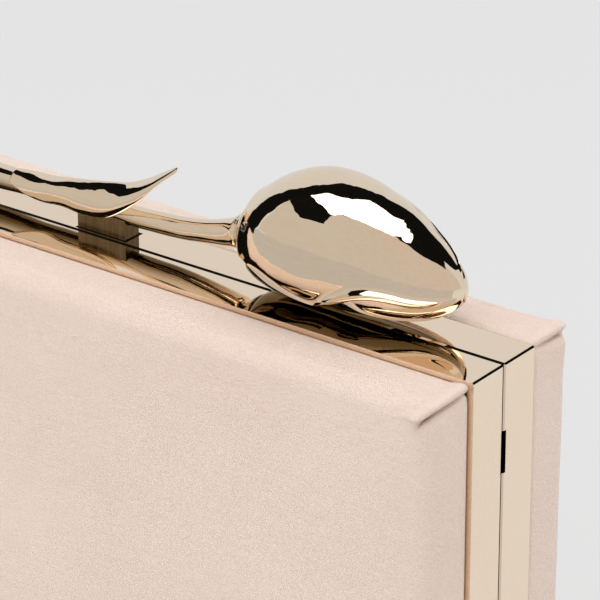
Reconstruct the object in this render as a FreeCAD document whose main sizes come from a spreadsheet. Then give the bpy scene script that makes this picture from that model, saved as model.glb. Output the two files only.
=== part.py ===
import FreeCAD, Part
import math
import os
import Sketcher

# A box clutch: two padded halves in polished rails, hinged along the bottom, with a flower clasp.
# X runs along the bag, the front half lies towards -Y, and the rails stand on Z = 0.

Vector = FreeCAD.Vector
doc = FreeCAD.newDocument("minaudiere")
sheet = doc.addObject("Spreadsheet::Sheet", "sizes")

SIZES = {
    # The bag as a whole
    "bag_width": 167.0,
    "bag_height": 108.0,
    "front_depth": 19.6,
    "back_depth": 21.6,
    "overrun": 2.0,
    # Rails
    "rail_width": 8.5,
    "plate": 1.0,
    "parting_gap": 0.36,
    "lip_thick": 1.0,
    "lip_depth": 3.2,
    "lip_start": 5.0,
    "parting_bevel": 0.25,
    "corner_bevel": 0.3,
    # Padded panels, from the outside in
    "satin_inset": 0.6,
    "panel_round": 3.6,
    "inner_round": 0.8,
    "panel_crown": 0.8,
    "satin_thick": 0.5,
    "padding_thick": 2.0,
    "shell_thick": 1.4,
    "lining_thick": 0.6,
    "layer_gap": 0.05,
    # Bottom hinge
    "hinge_height": 1.8,
    "barrel_radius": 1.6,
    "pin_radius": 0.8,
    "pin_clear": 0.05,
    "leaf_thick": 0.8,
    "knuckle_gap": 0.3,
    "barrel_clear": 0.3,
    "notch_half": 2.2,
    "notch_height": 2.1,
    "hinge_end_clear": 0.4,
    # Chain slots and the lugs behind them
    "slot_top_drop": 11.9,
    "slot_length": 7.6,
    "slot_front": 0.5,
    "slot_back": 0.9,
    "lug_reach": 6.0,
    "lug_thick": 1.0,
    "lug_setback": 3.0,
    "lug_height": 5.6,
    "lug_hole_radius": 1.2,
    "lug_eye_margin": 2.0,
    # Clasp post, its slot and its pivot
    "post_width": 10.5,
    "post_depth": 3.6,
    "post_front": 1.0,
    "post_drop": 8.0,
    "post_slot_clear": 0.35,
    "post_swing_clear": 0.75,
    "window_clear": 0.95,
    "pivot_drop": 4.5,
    "pivot_radius": 0.7,
    "pivot_clear": 0.05,
    "ear_hole_clear": 0.02,
    "ear_side_clear": 0.6,
    "ear_thick": 1.0,
    "ear_margin": 2.0,
    "bracket_front_clear": 0.3,
    "bridge_gap": 1.3,
    "bridge_thick": 0.8,
    "foot_reach": 4.0,
    # Bow spring behind the post
    "spring_thick": 0.3,
    "spring_height": 2.0,
    "spring_span": 9.2,
    "spring_touch": 0.05,
    "spring_top_clear": 0.3,
    # Hook, its screws and the keeper in the front rail
    "hook_width": 9.0,
    "hook_plate": 0.8,
    "hook_top_drop": 2.2,
    "hook_arm": 1.2,
    "hook_reach": 4.0,
    "nose_thick": 1.2,
    "nose_drop": 1.2,
    "nose_slope": 0.7,
    "screw_radius": 0.55,
    "screw_head_radius": 1.1,
    "screw_head_thick": 0.6,
    "screw_bite": 2.2,
    "screw_clear": 0.03,
    "screw_spread": 4.8,
    "screw_drop": 6.8,
    "keeper_width": 8.0,
    "keeper_thick": 0.6,
    "keeper_leg_clear": 1.2,
    "keeper_base": 2.0,
    "keeper_foot_clear": 1.2,
    "latch_gap": 0.5,
    "latch_bite": 0.5,
    # Flower: stem, leaf and bud, measured from the post and the rail top
    "stem_left": 58.0,
    "stem_radius": 2.35,
    "bud_start": 29.0,
    "bud_length": 43.6,
    "bud_radius": 11.3,
    "bud_rise": 11.95,
    "bud_lean": 4.5,
    "petal_thick": 0.85,
    "petal_flare": 1.2,
    "base_flare": 0.5,
    "cup_inset": 0.5,
    "petal_gap": 0.15,
    "leaf_root": 20.0,
    "leaf_length": 37.0,
    "leaf_height": 16.6,
    "blade_thick": 0.7,
    "blade_gap": 0.25,
}

HINGE_KNUCKLES = 11

for row, (name, number) in enumerate(SIZES.items(), start=1):
    sheet.set("A%d" % row, name)
    sheet.set("B%d" % row, str(number))
    sheet.setAlias("B%d" % row, name)
doc.recompute()


class Size:
    """A length together with the sheet formula that gives it."""

    def __init__(self, value, formula):
        self.value = value
        self.formula = formula

    def join(self, other, sign, value):
        return Size(value, "(%s %s %s)" % (self.formula, sign, as_size(other).formula))

    def __add__(self, other):
        return self.join(other, "+", self.value + as_size(other).value)

    def __sub__(self, other):
        return self.join(other, "-", self.value - as_size(other).value)

    def __mul__(self, other):
        return self.join(other, "*", self.value * as_size(other).value)

    def __truediv__(self, other):
        return self.join(other, "/", self.value / as_size(other).value)

    def __neg__(self):
        return Size(-self.value, "(-1 * %s)" % self.formula)


def as_size(thing):
    """Turns a plain number into a Size, and leaves a Size as it is."""
    if isinstance(thing, Size):
        return thing
    return Size(float(thing), repr(thing))


def size(name):
    """Reads one driving dimension from the sheet."""
    return Size(float(sheet.get(name)), "sizes.%s" % name)


ZERO = Size(0.0, "0")

# Places that several pieces share
half_width = size("bag_width") / 2
top = size("bag_height")
rail = size("rail_width")
plate = size("plate")
half_gap = size("parting_gap") / 2
under_top = top - plate
stack = size("satin_thick") + size("padding_thick") + size("shell_thick") + size("lining_thick")
stack = stack + size("layer_gap") * 3
seat_depth = size("satin_inset") + stack
post_half = size("post_width") / 2
post_back = size("post_front") + size("post_depth")
pivot_y = size("post_front") + size("post_depth") / 2
pivot_z = top - size("pivot_drop")


# Small building blocks

def bind(thing, name, value):
    """Ties a property of an object to the sheet."""
    thing.setExpression(name, value.formula)


def put(thing, x, y, z):
    """Ties an object's place to the sheet."""
    for axis, value in (("x", x), ("y", y), ("z", z)):
        bind(thing, "Placement.Base.%s" % axis, value)


def block(name, x, y, z):
    """A box from pairs of limits along X, Y and Z."""
    thing = doc.addObject("Part::Box", name)
    for prop, (low, high) in (("Length", x), ("Width", y), ("Height", z)):
        bind(thing, prop, high - low)
    put(thing, x[0], y[0], z[0])
    return thing


def rod(name, axis, start, length, radius):
    """A cylinder from a start point along X or Y."""
    thing = doc.addObject("Part::Cylinder", name)
    if axis == "X":
        turn = FreeCAD.Rotation(Vector(0, 1, 0), 90)
    else:
        turn = FreeCAD.Rotation(Vector(1, 0, 0), -90)
    thing.Placement = FreeCAD.Placement(Vector(), turn)
    bind(thing, "Radius", radius)
    bind(thing, "Height", length)
    put(thing, *start)
    return thing


def fuse(name, pieces):
    thing = doc.addObject("Part::MultiFuse", name)
    thing.Shapes = pieces
    return thing


def cut(name, base, tool):
    thing = doc.addObject("Part::Cut", name)
    thing.Base = base
    thing.Tool = tool
    return thing


def sketch_on(body, name, role, offset):
    """A sketch on one of the body's own origin planes, moved along the plane's normal."""
    sketch = body.newObject("Sketcher::SketchObject", name)
    plane = [item for item in body.Origin.OriginFeatures if item.Role == role][0]
    sketch.AttachmentSupport = (plane, [""])
    sketch.MapMode = "FlatFace"
    bind(sketch, "AttachmentOffset.Base.z", offset)
    return sketch


def tie(sketch, kind, geometry, point, value):
    """Holds a point of the sketch at a distance from the sketch's origin."""
    number = sketch.addConstraint(Sketcher.Constraint(kind, -1, 1, geometry, point, value.value))
    sketch.setExpression("Constraints[%d]" % number, value.formula)


def outline(sketch, points):
    """A closed outline of straight lines through points given as sizes."""
    first = sketch.GeometryCount
    count = len(points)
    corners = [Vector(x.value, y.value, 0) for x, y in points]
    for index in range(count):
        line = Part.LineSegment(corners[index], corners[(index + 1) % count])
        sketch.addGeometry(line, False)
    for index, (x, y) in enumerate(points):
        following = first + (index + 1) % count
        sketch.addConstraint(Sketcher.Constraint("Coincident", first + index, 2, following, 1))
        tie(sketch, "DistanceX", first + index, 1, x)
        tie(sketch, "DistanceY", first + index, 1, y)


def rectangle(sketch, x, y):
    outline(sketch, [(x[0], y[0]), (x[1], y[0]), (x[1], y[1]), (x[0], y[1])])


def ring(sketch, inset):
    """The rail's outline with an opening inset from it."""
    rectangle(sketch, (-half_width, half_width), (ZERO, top))
    rectangle(sketch, (inset - half_width, half_width - inset), (inset, top - inset))


def hole(sketch, x, y, radius):
    """A circle given by its centre and radius."""
    circle = Part.Circle(Vector(x.value, y.value, 0), Vector(0, 0, 1), radius.value)
    number = sketch.addGeometry(circle, False)
    tie(sketch, "DistanceX", number, 3, x)
    tie(sketch, "DistanceY", number, 3, y)
    held = sketch.addConstraint(Sketcher.Constraint("Radius", number, radius.value))
    sketch.setExpression("Constraints[%d]" % held, radius.formula)


def pad(body, name, sketch, length, back=False, both=False):
    feature = body.newObject("PartDesign::Pad", name)
    feature.Profile = sketch
    bind(feature, "Length", length)
    feature.Reversed = back
    if both:
        feature.SideType = "Symmetric"
    doc.recompute()
    return feature


def pocket(body, name, sketch, length=None):
    """Cuts to both sides of the sketch, by a length or right through."""
    before = body.Shape.Volume
    feature = body.newObject("PartDesign::Pocket", name)
    feature.Profile = sketch
    feature.SideType = "Symmetric"
    if length is None:
        feature.Type = "ThroughAll"
    else:
        bind(feature, "Length", length)
    doc.recompute()
    if not body.Shape.Volume < before:
        raise RuntimeError("the cut %s takes nothing away" % name)
    return feature


def bevel(body, name, base, chosen, width):
    """Breaks the edges of a feature that a test chooses."""
    feature = body.newObject("PartDesign::Chamfer", name)
    edges = ["Edge%d" % n for n, edge in enumerate(base.Shape.Edges, start=1) if chosen(edge)]
    feature.Base = (base, edges)
    bind(feature, "Size", width)
    doc.recompute()
    return feature


def new_body(label):
    return doc.addObject("PartDesign::Body", label)


def shaped(label, shape):
    """A sub-part whose form comes from curves."""
    thing = doc.addObject("Part::Feature", label)
    thing.Shape = shape
    thing.Placement = FreeCAD.Placement()
    return thing


def point(x, y, z):
    return Vector(x, y, z)


# Rails

def on_line(edge, along, **fixed):
    """Tells whether a straight edge runs along an axis with its other coordinates fixed."""
    if edge.Curve.TypeId != "Part::GeomLine":
        return False
    box = edge.BoundBox
    spans = {"x": (box.XMin, box.XMax), "y": (box.YMin, box.YMax), "z": (box.ZMin, box.ZMax)}
    low, high = spans[along]
    if not high > low:
        return False
    near = plate.value / 100
    for axis, value in fixed.items():
        if max(abs(limit - value) for limit in spans[axis]) > near:
            return False
    return True


def make_frame(label, side):
    """One half's rail ring with its closing lip, its panel seat and its cuts."""
    body = new_body(label)
    back = side > 0
    # The XZ plane looks towards -Y, so the back half counts backwards along the normal
    start = -half_gap if back else half_gap
    seat_start = rail - plate
    seat_start = -seat_start if back else seat_start

    rail_outline = sketch_on(body, label + "_rail_outline", "XZ_Plane", start)
    ring(rail_outline, plate)
    pad(body, label + "_rail", rail_outline, rail - half_gap, back)

    lip_in = half_width - size("lip_depth")
    lip_low = top - size("lip_depth")
    lip_foot = size("lip_start")
    lip_outline = sketch_on(body, label + "_lip_outline", "XZ_Plane", start)
    outline(lip_outline, [
        (-half_width, lip_foot), (-lip_in, lip_foot), (-lip_in, lip_low), (lip_in, lip_low),
        (lip_in, lip_foot), (half_width, lip_foot), (half_width, top), (-half_width, top)])
    pad(body, label + "_lip", lip_outline, size("lip_thick"), back)

    seat_outline = sketch_on(body, label + "_seat_outline", "XZ_Plane", seat_start)
    ring(seat_outline, seat_depth)
    pad(body, label + "_seat", seat_outline, plate, back)

    slot_high = top - size("slot_top_drop")
    chain_outline = sketch_on(body, label + "_chain_outline", "YZ_Plane", ZERO)
    rectangle(chain_outline, (-size("slot_front"), size("slot_back")),
              (slot_high - size("slot_length"), slot_high))
    pocket(body, label + "_chain_slots", chain_outline)

    notch_outline = sketch_on(body, label + "_notch_outline", "YZ_Plane", ZERO)
    rectangle(notch_outline, (-size("notch_half"), size("notch_half")),
              (-size("overrun"), size("notch_height")))
    pocket(body, label + "_hinge_notch", notch_outline)

    window_half = post_half + size("window_clear")
    window_outline = sketch_on(body, label + "_window_outline", "XZ_Plane", ZERO)
    rectangle(window_outline, (-window_half, window_half),
              (lip_low - size("overrun"), under_top))
    last = pocket(body, label + "_latch_window", window_outline, (size("lip_thick") + size("overrun")) * 2)

    if back:
        post_slot_half = post_half + size("post_slot_clear")
        slot_outline = sketch_on(body, label + "_post_outline", "XY_Plane", top)
        rectangle(slot_outline, (-post_slot_half, post_slot_half),
                  (size("post_front") - size("post_slot_clear"), post_back + size("post_swing_clear")))
        last = pocket(body, label + "_post_slot", slot_outline, (plate + size("overrun")) * 2)

    face_y = half_gap.value * side
    outer_x = half_width.value

    def parting_edge(edge):
        along_top = on_line(edge, "x", y=face_y, z=top.value)
        along_ends = on_line(edge, "z", y=face_y, x=outer_x) or on_line(edge, "z", y=face_y, x=-outer_x)
        return along_top or along_ends

    def corner_edge(edge):
        return on_line(edge, "y", z=top.value, x=outer_x) or on_line(edge, "y", z=top.value, x=-outer_x)

    last = bevel(body, label + "_parting_bevel", last, parting_edge, size("parting_bevel"))
    bevel(body, label + "_corner_bevel", last, corner_edge, size("corner_bevel"))
    return body


# Padded panels

def padded_block(side, depth, start):
    """A crowned block with rounded edges, drawn in by a depth from the satin's surface."""
    round_off = max(size("panel_round").value - depth, size("inner_round").value)
    reach = half_width.value - size("satin_inset").value - depth
    low = size("satin_inset").value + depth
    high = top.value - low
    front = size("front_depth" if side < 0 else "back_depth").value - depth
    rim = front - size("panel_crown").value
    middle = (low + high) / 2
    corner = round_off * (1 - math.cos(math.pi / 4))

    def plan(x, y):
        return point(x, y * side, 0)

    def profile(y, z):
        return point(-half_width.value, y * side, z)

    def arc(a, b, c):
        return Part.Arc(a, b, c).toShape()

    def line(a, b):
        return Part.makeLine(a, b)

    plan_edges = [
        line(plan(-reach, start), plan(-reach, front - round_off)),
        arc(plan(-reach, front - round_off), plan(corner - reach, front - corner),
            plan(round_off - reach, front)),
        line(plan(round_off - reach, front), plan(reach - round_off, front)),
        arc(plan(reach - round_off, front), plan(reach - corner, front - corner),
            plan(reach, front - round_off)),
        line(plan(reach, front - round_off), plan(reach, start)),
        line(plan(reach, start), plan(-reach, start)),
    ]
    profile_edges = [
        line(profile(start, low), profile(rim - round_off, low)),
        arc(profile(rim - round_off, low), profile(rim - corner, low + corner), profile(rim, low + round_off)),
        arc(profile(rim, low + round_off), profile(front, middle), profile(rim, high - round_off)),
        arc(profile(rim, high - round_off), profile(rim - corner, high - corner),
            profile(rim - round_off, high)),
        line(profile(rim - round_off, high), profile(start, high)),
        line(profile(start, high), profile(start, low)),
    ]
    upright = Part.Face(Part.Wire(plan_edges)).extrude(Vector(0, 0, top.value))
    lying = Part.Face(Part.Wire(profile_edges)).extrude(Vector(size("bag_width").value, 0, 0))
    return upright.common(lying)


def make_panel(prefix, side):
    """The four nested trays of one half: satin, padding, shell and lining."""
    depth = 0.0
    trays = []
    for layer in ("satin", "padding", "shell", "lining"):
        thick = size(layer + "_thick").value
        outer = padded_block(side, depth, rail.value)
        inner = padded_block(side, depth + thick, rail.value - size("overrun").value)
        tray = outer.cut(inner)
        trays.append(shaped("%s_%s" % (prefix, layer), tray.Solids[0]))
        depth = depth + thick + size("layer_gap").value
    return trays


# Bottom hinge

def make_hinge():
    """Two leaves with alternating knuckles, and the pin through them."""
    hinge_half = half_width - plate - size("hinge_end_clear")
    pitch = hinge_half * 2 / HINGE_KNUCKLES
    height = size("hinge_height")
    barrel = size("barrel_radius")
    leaf_edge = barrel + size("barrel_clear")
    leaf_end = rail - plate - size("barrel_clear")
    leaf_z = (plate, plate + size("leaf_thick"))
    leaves = []
    for label, side, first in (("back_hinge_leaf", 1, 0), ("front_hinge_leaf", -1, 1)):
        span = (leaf_edge, leaf_end) if side > 0 else (-leaf_end, -leaf_edge)
        tab = (ZERO, leaf_edge) if side > 0 else (-leaf_edge, ZERO)
        pieces = [block(label + "_plate", (-hinge_half, hinge_half), span, leaf_z)]
        for number in range(first, HINGE_KNUCKLES, 2):
            left = pitch * number + size("knuckle_gap") / 2 - hinge_half
            length = pitch - size("knuckle_gap")
            pieces.append(block("%s_tab_%d" % (label, number), (left, left + length), tab, leaf_z))
            pieces.append(rod("%s_knuckle_%d" % (label, number), "X", (left, ZERO, height), length, barrel))
        solid = fuse(label + "_solid", pieces)
        bore = rod(label + "_bore", "X", (-half_width, ZERO, height), half_width * 2,
                   size("pin_radius") + size("pin_clear"))
        leaves.append(cut(label, solid, bore))
    pin = rod("hinge_pin", "X", (-hinge_half, ZERO, height), hinge_half * 2, size("pin_radius"))
    return leaves + [pin]


# Chain lugs

def make_lug(label, side):
    """An eye on the end plate, behind the chain slot."""
    wall = half_width - plate
    end = wall - size("lug_reach")
    eye = end + size("lug_eye_margin")
    middle = top - size("slot_top_drop") - size("slot_length") / 2
    z = (middle - size("lug_height") / 2, middle + size("lug_height") / 2)
    y = (size("lug_setback"), size("lug_setback") + size("lug_thick"))
    x = (end, wall) if side > 0 else (-wall, -end)
    tab = block(label + "_tab", x, y, z)
    start = (eye if side > 0 else -eye, ZERO, middle)
    bore = rod(label + "_bore", "Y", start, rail, size("lug_hole_radius"))
    return cut(label, tab, bore)


# Flower

STEM_LEFT_PLACE_SHARES = (-1.0, -0.98, -0.93, -0.6, -0.25)
STEM_LEFT_RISE_SHARES = (0.35, 0.35, 0.35, 0.35, 0.345)
STEM_LEFT_RADIUS_SHARES = (0.62, 0.8, 0.88, 0.88, 0.84)
STEM_RIGHT_PLACE_SHARES = (0.0, 0.33, 0.6, 0.88, 1.0)
STEM_RIGHT_RISE_SHARES = (0.36, 0.37, 0.41, 0.535, 0.62)
STEM_RIGHT_RADIUS_SHARES = (0.8, 0.83, 0.9, 1.04, 1.15)
STEM_SECTIONS = 24

# The bud swells as a sine that peaks at a share of its length, fuller towards the tip than at the base
BUD_PEAK_SHARE = 0.42
BUD_BASE_POWER_SHARE = 0.7
BUD_TIP_POWER_SHARE = 0.5
BUD_PLACE_SHARES = (0.0, 0.14, 0.25, 0.39, 0.53, 0.67, 0.8, 0.91, 1.0)
BUD_RISE_SHARES = (0.68, 0.81, 0.91, 1.0, 0.995, 0.91, 0.79, 0.69, 0.62)
BUD_LEAN_SHARES = (0.66, 0.52, 0.45, 0.4, 0.44, 0.54, 0.68, 0.86, 1.0)
BUD_SECTIONS = 19

# Each petal's start along the bud, and its edges as turns about the bud's axis, from the top (0)
# towards the front (90)
PETAL_START_SHARE = 0.13
INNER_START_SHARE = 0.46
PETAL_END_SHARE = 0.985
BACK_PLACE_SHARES = (0.13, 0.25, 0.39, 0.53, 0.67, 0.8, 0.91, 0.985)
BACK_EDGE_DEG = (-62, -60, -57, -54, -50, -44, -36, -26)
LIP_PLACE_SHARES = (0.13, 0.25, 0.39, 0.47, 0.53, 0.6, 0.67, 0.75, 0.82, 0.91, 0.985)
LIP_DEG = (148, 152, 151, 142, 130, 118, 107, 99, 97, 100, 98)
INNER_PLACE_SHARES = (0.46, 0.53, 0.62, 0.68, 0.74, 0.8, 0.86, 0.92, 0.985)
INNER_EDGE_DEG = (140, 131, 127, 133, 138, 142, 147, 154, 160)
UNDERSIDE_DEG = 225
OVERLAP_DEG = 12
FLARE_DEG = 16
TUCK_DEG = 30
LIP_FLARE_SHARES = (0.5, 0.5, 0.5, 0.6, 0.8, 1.0, 1.0, 1.0, 1.0, 1.0, 1.0)
SIDE_FLARE_SHARE = 0.5
BASE_RIM_SHARE = 0.05
PETAL_POINTS = 15

# The bud's heart: a cup at the stem, then drawn in under the petals
CUP_PLACE_SHARES = (0.027, 0.05, 0.075, 0.095)
HEART_PLACE_SHARES = (0.125, 0.16, 0.22, 0.3, 0.4, 0.5, 0.6, 0.7, 0.8, 0.88, 0.93, 0.96)

# Leaf sections past the stem: upper edge, middle and lower edge, as shares of the leaf's height
LEAF_PLACE_SHARES = (0.32, 0.46, 0.59, 0.7, 0.81, 0.92, 1.0)
LEAF_UPPER_SHARES = ((0.157, 0.482), (0.151, 0.536), (0.151, 0.596), (0.145, 0.657), (0.133, 0.765),
                     (0.102, 0.904), (0.066, 1.0))
LEAF_MIDDLE_SHARES = ((-0.012, 0.373), (-0.036, 0.386), (-0.048, 0.416), (-0.048, 0.506), (-0.018, 0.663),
                      (0.018, 0.855), (0.045, 0.985))
LEAF_LOWER_SHARES = ((0.006, 0.193), (-0.018, 0.187), (-0.018, 0.217), (-0.024, 0.349), (-0.024, 0.554),
                     (-0.012, 0.801), (0.03, 0.965))
# Where the leaf hugs the stem: place along the leaf and turns about the stem
LEAF_HUG_SHARES = (0.0, 0.1, 0.2)
LEAF_HUG_DEG = ((15, 75), (0, 105), (-12, 122))


def circle_at(x, y, z, radius):
    return Part.Wire(Part.makeCircle(radius, point(x, y, z), Vector(1, 0, 0)))


def curve_through(places, values):
    """A smooth function through pairs of places and values."""
    count = len(places)
    slopes = []
    for index in range(count):
        low = max(index - 1, 0)
        high = min(index + 1, count - 1)
        slopes.append((values[high] - values[low]) / (places[high] - places[low]))

    def value_at(place):
        index = 0
        while index < count - 2 and place > places[index + 1]:
            index += 1
        span = places[index + 1] - places[index]
        share = (place - places[index]) / span
        rest = 1 - share
        start = values[index] * (1 + 2 * share) * rest ** 2 + slopes[index] * span * share * rest ** 2
        end = values[index + 1] * (1 + 2 * rest) * share ** 2 - slopes[index + 1] * span * rest * share ** 2
        return start + end

    return value_at


def stem_places():
    left = [share * size("stem_left").value for share in STEM_LEFT_PLACE_SHARES]
    return left + [share * size("bud_start").value for share in STEM_RIGHT_PLACE_SHARES]


def stem_at(x):
    """Height over the rail and radius of the stem at a place along the bag."""
    rise = curve_through(stem_places(), STEM_LEFT_RISE_SHARES + STEM_RIGHT_RISE_SHARES)
    radius = curve_through(stem_places(), STEM_LEFT_RADIUS_SHARES + STEM_RIGHT_RADIUS_SHARES)
    return rise(x) * size("bud_rise").value, radius(x) * size("stem_radius").value


def make_stem():
    """The stem from its rounded cut end on the left to the bud's cup on the right."""
    first = stem_places()[0]
    last = stem_places()[-1]
    rings = []
    for step in range(STEM_SECTIONS):
        x = first + (last - first) * step / (STEM_SECTIONS - 1)
        z, radius = stem_at(x)
        rings.append(circle_at(x, pivot_y.value, top.value + z, radius))
    return shaped("flower_stem", Part.makeLoft(rings, True, True))


def blade_section(x, upper, middle, lower):
    """A thin strip on an arc through three points, in a plane across the bag."""
    outer = Part.Arc(upper, middle, lower).toShape()
    centre = outer.Curve.Center
    radius = outer.Curve.Radius
    inward = (radius - size("blade_thick").value) / radius
    inner = [centre + (p - centre) * inward for p in (upper, middle, lower)]
    edges = [
        outer,
        Part.makeLine(lower, inner[2]),
        Part.Arc(inner[2], inner[1], inner[0]).toShape(),
        Part.makeLine(inner[0], upper),
    ]
    return Part.Wire(edges)


def make_leaf():
    """The pointed leaf: it hugs the stem at its root and opens over the post."""
    root = -size("leaf_root").value
    length = size("leaf_length").value
    height = size("leaf_height").value
    sections = []
    for share, turns in zip(LEAF_HUG_SHARES, LEAF_HUG_DEG):
        x = root + share * length
        z, r = stem_at(x)
        r = r + size("blade_gap").value + size("blade_thick").value
        rim = []
        for turn in (turns[0], sum(turns) / 2, turns[1]):
            a = math.radians(turn)
            rim.append(point(x, pivot_y.value - r * math.sin(a), top.value + z + r * math.cos(a)))
        sections.append(blade_section(x, *rim))
    shapes = zip(LEAF_PLACE_SHARES, LEAF_UPPER_SHARES, LEAF_MIDDLE_SHARES, LEAF_LOWER_SHARES)
    for share, upper, middle, lower in shapes:
        x = root + share * length
        rim = [point(x, y * height, top.value + z * height) for y, z in (upper, middle, lower)]
        sections.append(blade_section(x, *rim))
    return shaped("stem_leaf", Part.makeLoft(sections, True, False))


def bud_at(share):
    """Place, centre and radius of the bud's outer surface at a share of its length."""
    power = math.log(0.5) / math.log(BUD_PEAK_SHARE)
    full = BUD_BASE_POWER_SHARE if share < BUD_PEAK_SHARE else BUD_TIP_POWER_SHARE
    radius = size("bud_radius").value * math.sin(math.pi * share ** power) ** full
    x = size("bud_start").value + share * size("bud_length").value
    y = curve_through(BUD_PLACE_SHARES, BUD_LEAN_SHARES)(share) * size("bud_lean").value
    z = curve_through(BUD_PLACE_SHARES, BUD_RISE_SHARES)(share) * size("bud_rise").value
    return x, y, top.value + z, radius


def bud_shares(first, last):
    """Shares of the bud's length, close together at the two rounded ends."""
    start = math.acos(1 - 2 * first)
    end = math.acos(1 - 2 * last)
    turns = [start + (end - start) * step / (BUD_SECTIONS - 1) for step in range(BUD_SECTIONS)]
    return [(1 - math.cos(turn)) / 2 for turn in turns]


def slimming(radius):
    """Thins the petals where the bud narrows."""
    return min(1.0, radius / (size("bud_radius").value / 2))


def eased(share):
    """Eases from 0 to 1."""
    share = min(max(share, 0.0), 1.0)
    return share * share * (3 - 2 * share)


lip_deg = curve_through(LIP_PLACE_SHARES, LIP_DEG)
lip_flare_share = curve_through(LIP_PLACE_SHARES, LIP_FLARE_SHARES)
inner_edge_deg = curve_through(INNER_PLACE_SHARES, INNER_EDGE_DEG)
back_edge_deg = curve_through(BACK_PLACE_SHARES, BACK_EDGE_DEG)


def under_lip_deg(share):
    return lip_deg(share) - OVERLAP_DEG


def cover_deg(share):
    """The edge that the lower petal slips under: the inner petal's, or the lip before it starts."""
    if share < INNER_PLACE_SHARES[1]:
        return lip_deg(share)
    return max(lip_deg(share), inner_edge_deg(share))


def under_cover_deg(share):
    return cover_deg(share) - OVERLAP_DEG


def underside_deg(share):
    return UNDERSIDE_DEG


def over_underside_deg(share):
    return UNDERSIDE_DEG - OVERLAP_DEG


def under_back_deg(share):
    return 360 + back_edge_deg(share) + OVERLAP_DEG


def flared(turn, edge):
    """How far a petal's free edge stands out, growing towards the edge."""
    share = max(0.0, 1 - abs(turn - edge) / FLARE_DEG)
    return size("petal_flare").value * share ** 2


def tucked(past_edge, layers):
    """How far a petal dips under its neighbours, by the turn that it is past their edge."""
    layer = size("petal_thick").value + size("petal_gap").value
    return -layer * layers * (1 - eased(past_edge / TUCK_DEG))


def front_lift(share, turn):
    rim = max(0.0, 1 - (share - PETAL_START_SHARE) / BASE_RIM_SHARE)
    lip = flared(turn, lip_deg(share)) * lip_flare_share(share)
    back = flared(turn, back_edge_deg(share)) * SIDE_FLARE_SHARE
    return lip + back + size("base_flare").value * rim ** 2


def inner_lift(share, turn):
    shows = eased((inner_edge_deg(share) - lip_deg(share)) / OVERLAP_DEG)
    edge = flared(turn, inner_edge_deg(share)) * SIDE_FLARE_SHARE * shows
    return tucked(turn - lip_deg(share), 1) + edge


def lower_lift(share, turn):
    return tucked(turn - cover_deg(share), 2) + tucked(UNDERSIDE_DEG - turn, 1)


def back_lift(share, turn):
    edge = 360 + back_edge_deg(share)
    return flared(turn, over_underside_deg(share)) * SIDE_FLARE_SHARE + tucked(edge - turn, 1)


def petal_section(share, first, last, lift):
    """A petal's cross-section between two turns, raised along its width by a function."""
    x, y, z, radius = bud_at(share)
    outer = []
    inner = []
    for step in range(PETAL_POINTS):
        place = (1 - math.cos(math.pi * step / (PETAL_POINTS - 1))) / 2
        turn = first + (last - first) * place
        a = math.radians(turn)
        away = radius + lift(share, turn) * slimming(radius)
        within = away - size("petal_thick").value * slimming(radius)
        outer.append(point(x, y - away * math.sin(a), z + away * math.cos(a)))
        inner.append(point(x, y - within * math.sin(a), z + within * math.cos(a)))
    inner.reverse()
    curves = []
    for points in (outer, inner):
        curve = Part.BSplineCurve()
        curve.interpolate(points)
        curves.append(curve.toShape())
    edges = [curves[0], Part.makeLine(outer[-1], inner[0]), curves[1], Part.makeLine(inner[-1], outer[0])]
    return Part.Wire(edges)


def make_petal(label, start, first, last, lift):
    """A petal lofted along the bud, with flared edges over and tucked edges under its neighbours."""
    sections = []
    for share in bud_shares(start, PETAL_END_SHARE):
        sections.append(petal_section(share, first(share), last(share), lift))
    return shaped(label, Part.makeLoft(sections, True, False))


def make_petals():
    """The front petal lies over the inner one, that one over the lower, and the back petal between."""
    return [
        make_petal("front_petal", PETAL_START_SHARE, back_edge_deg, lip_deg, front_lift),
        make_petal("inner_petal", INNER_START_SHARE, under_lip_deg, inner_edge_deg, inner_lift),
        make_petal("lower_petal", PETAL_START_SHARE, under_cover_deg, underside_deg, lower_lift),
        make_petal("back_petal", PETAL_START_SHARE, over_underside_deg, under_back_deg, back_lift),
    ]


def make_core():
    """The bud's closed heart with the cup that joins it to the stem."""
    stem_z, stem_radius = stem_at(size("bud_start").value)
    rings = [circle_at(size("bud_start").value, pivot_y.value, top.value + stem_z, stem_radius)]
    # Three petals lie one over the other on the heart
    deep = (size("petal_thick").value + size("petal_gap").value) * 3 + size("petal_gap").value
    for shares, inset in ((CUP_PLACE_SHARES, size("cup_inset").value), (HEART_PLACE_SHARES, deep)):
        for share in shares:
            x, y, z, radius = bud_at(share)
            rings.append(circle_at(x, y, z, radius - inset * slimming(radius)))
    return shaped("bud_core", Part.makeLoft(rings, True, True))


# Clasp

def make_post(stem):
    """The block under the flower: it carries the stem, turns on the pivot and holds the hook."""
    saddle_z = top + size("bud_rise") * STEM_RIGHT_RISE_SHARES[0]
    solid = block("clasp_post_block", (-post_half, post_half), (size("post_front"), post_back),
                  (top - size("post_drop"), saddle_z))
    tools = [rod("clasp_post_bore", "X", (-half_width, pivot_y, pivot_z), half_width * 2,
                 size("pivot_radius") + size("pivot_clear"))]
    for name, x in screw_places():
        start = (x, ZERO, top - size("screw_drop"))
        depth = size("post_front") + size("screw_bite") + size("screw_clear")
        tools.append(rod("clasp_post_%s" % name, "Y", start, depth, size("screw_radius") + size("screw_clear")))
    bored = cut("clasp_post_bored", solid, fuse("clasp_post_tools", tools))
    return cut("clasp_post", bored, stem)


def screw_places():
    return (("left", -size("screw_spread") / 2), ("right", size("screw_spread") / 2))


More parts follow.
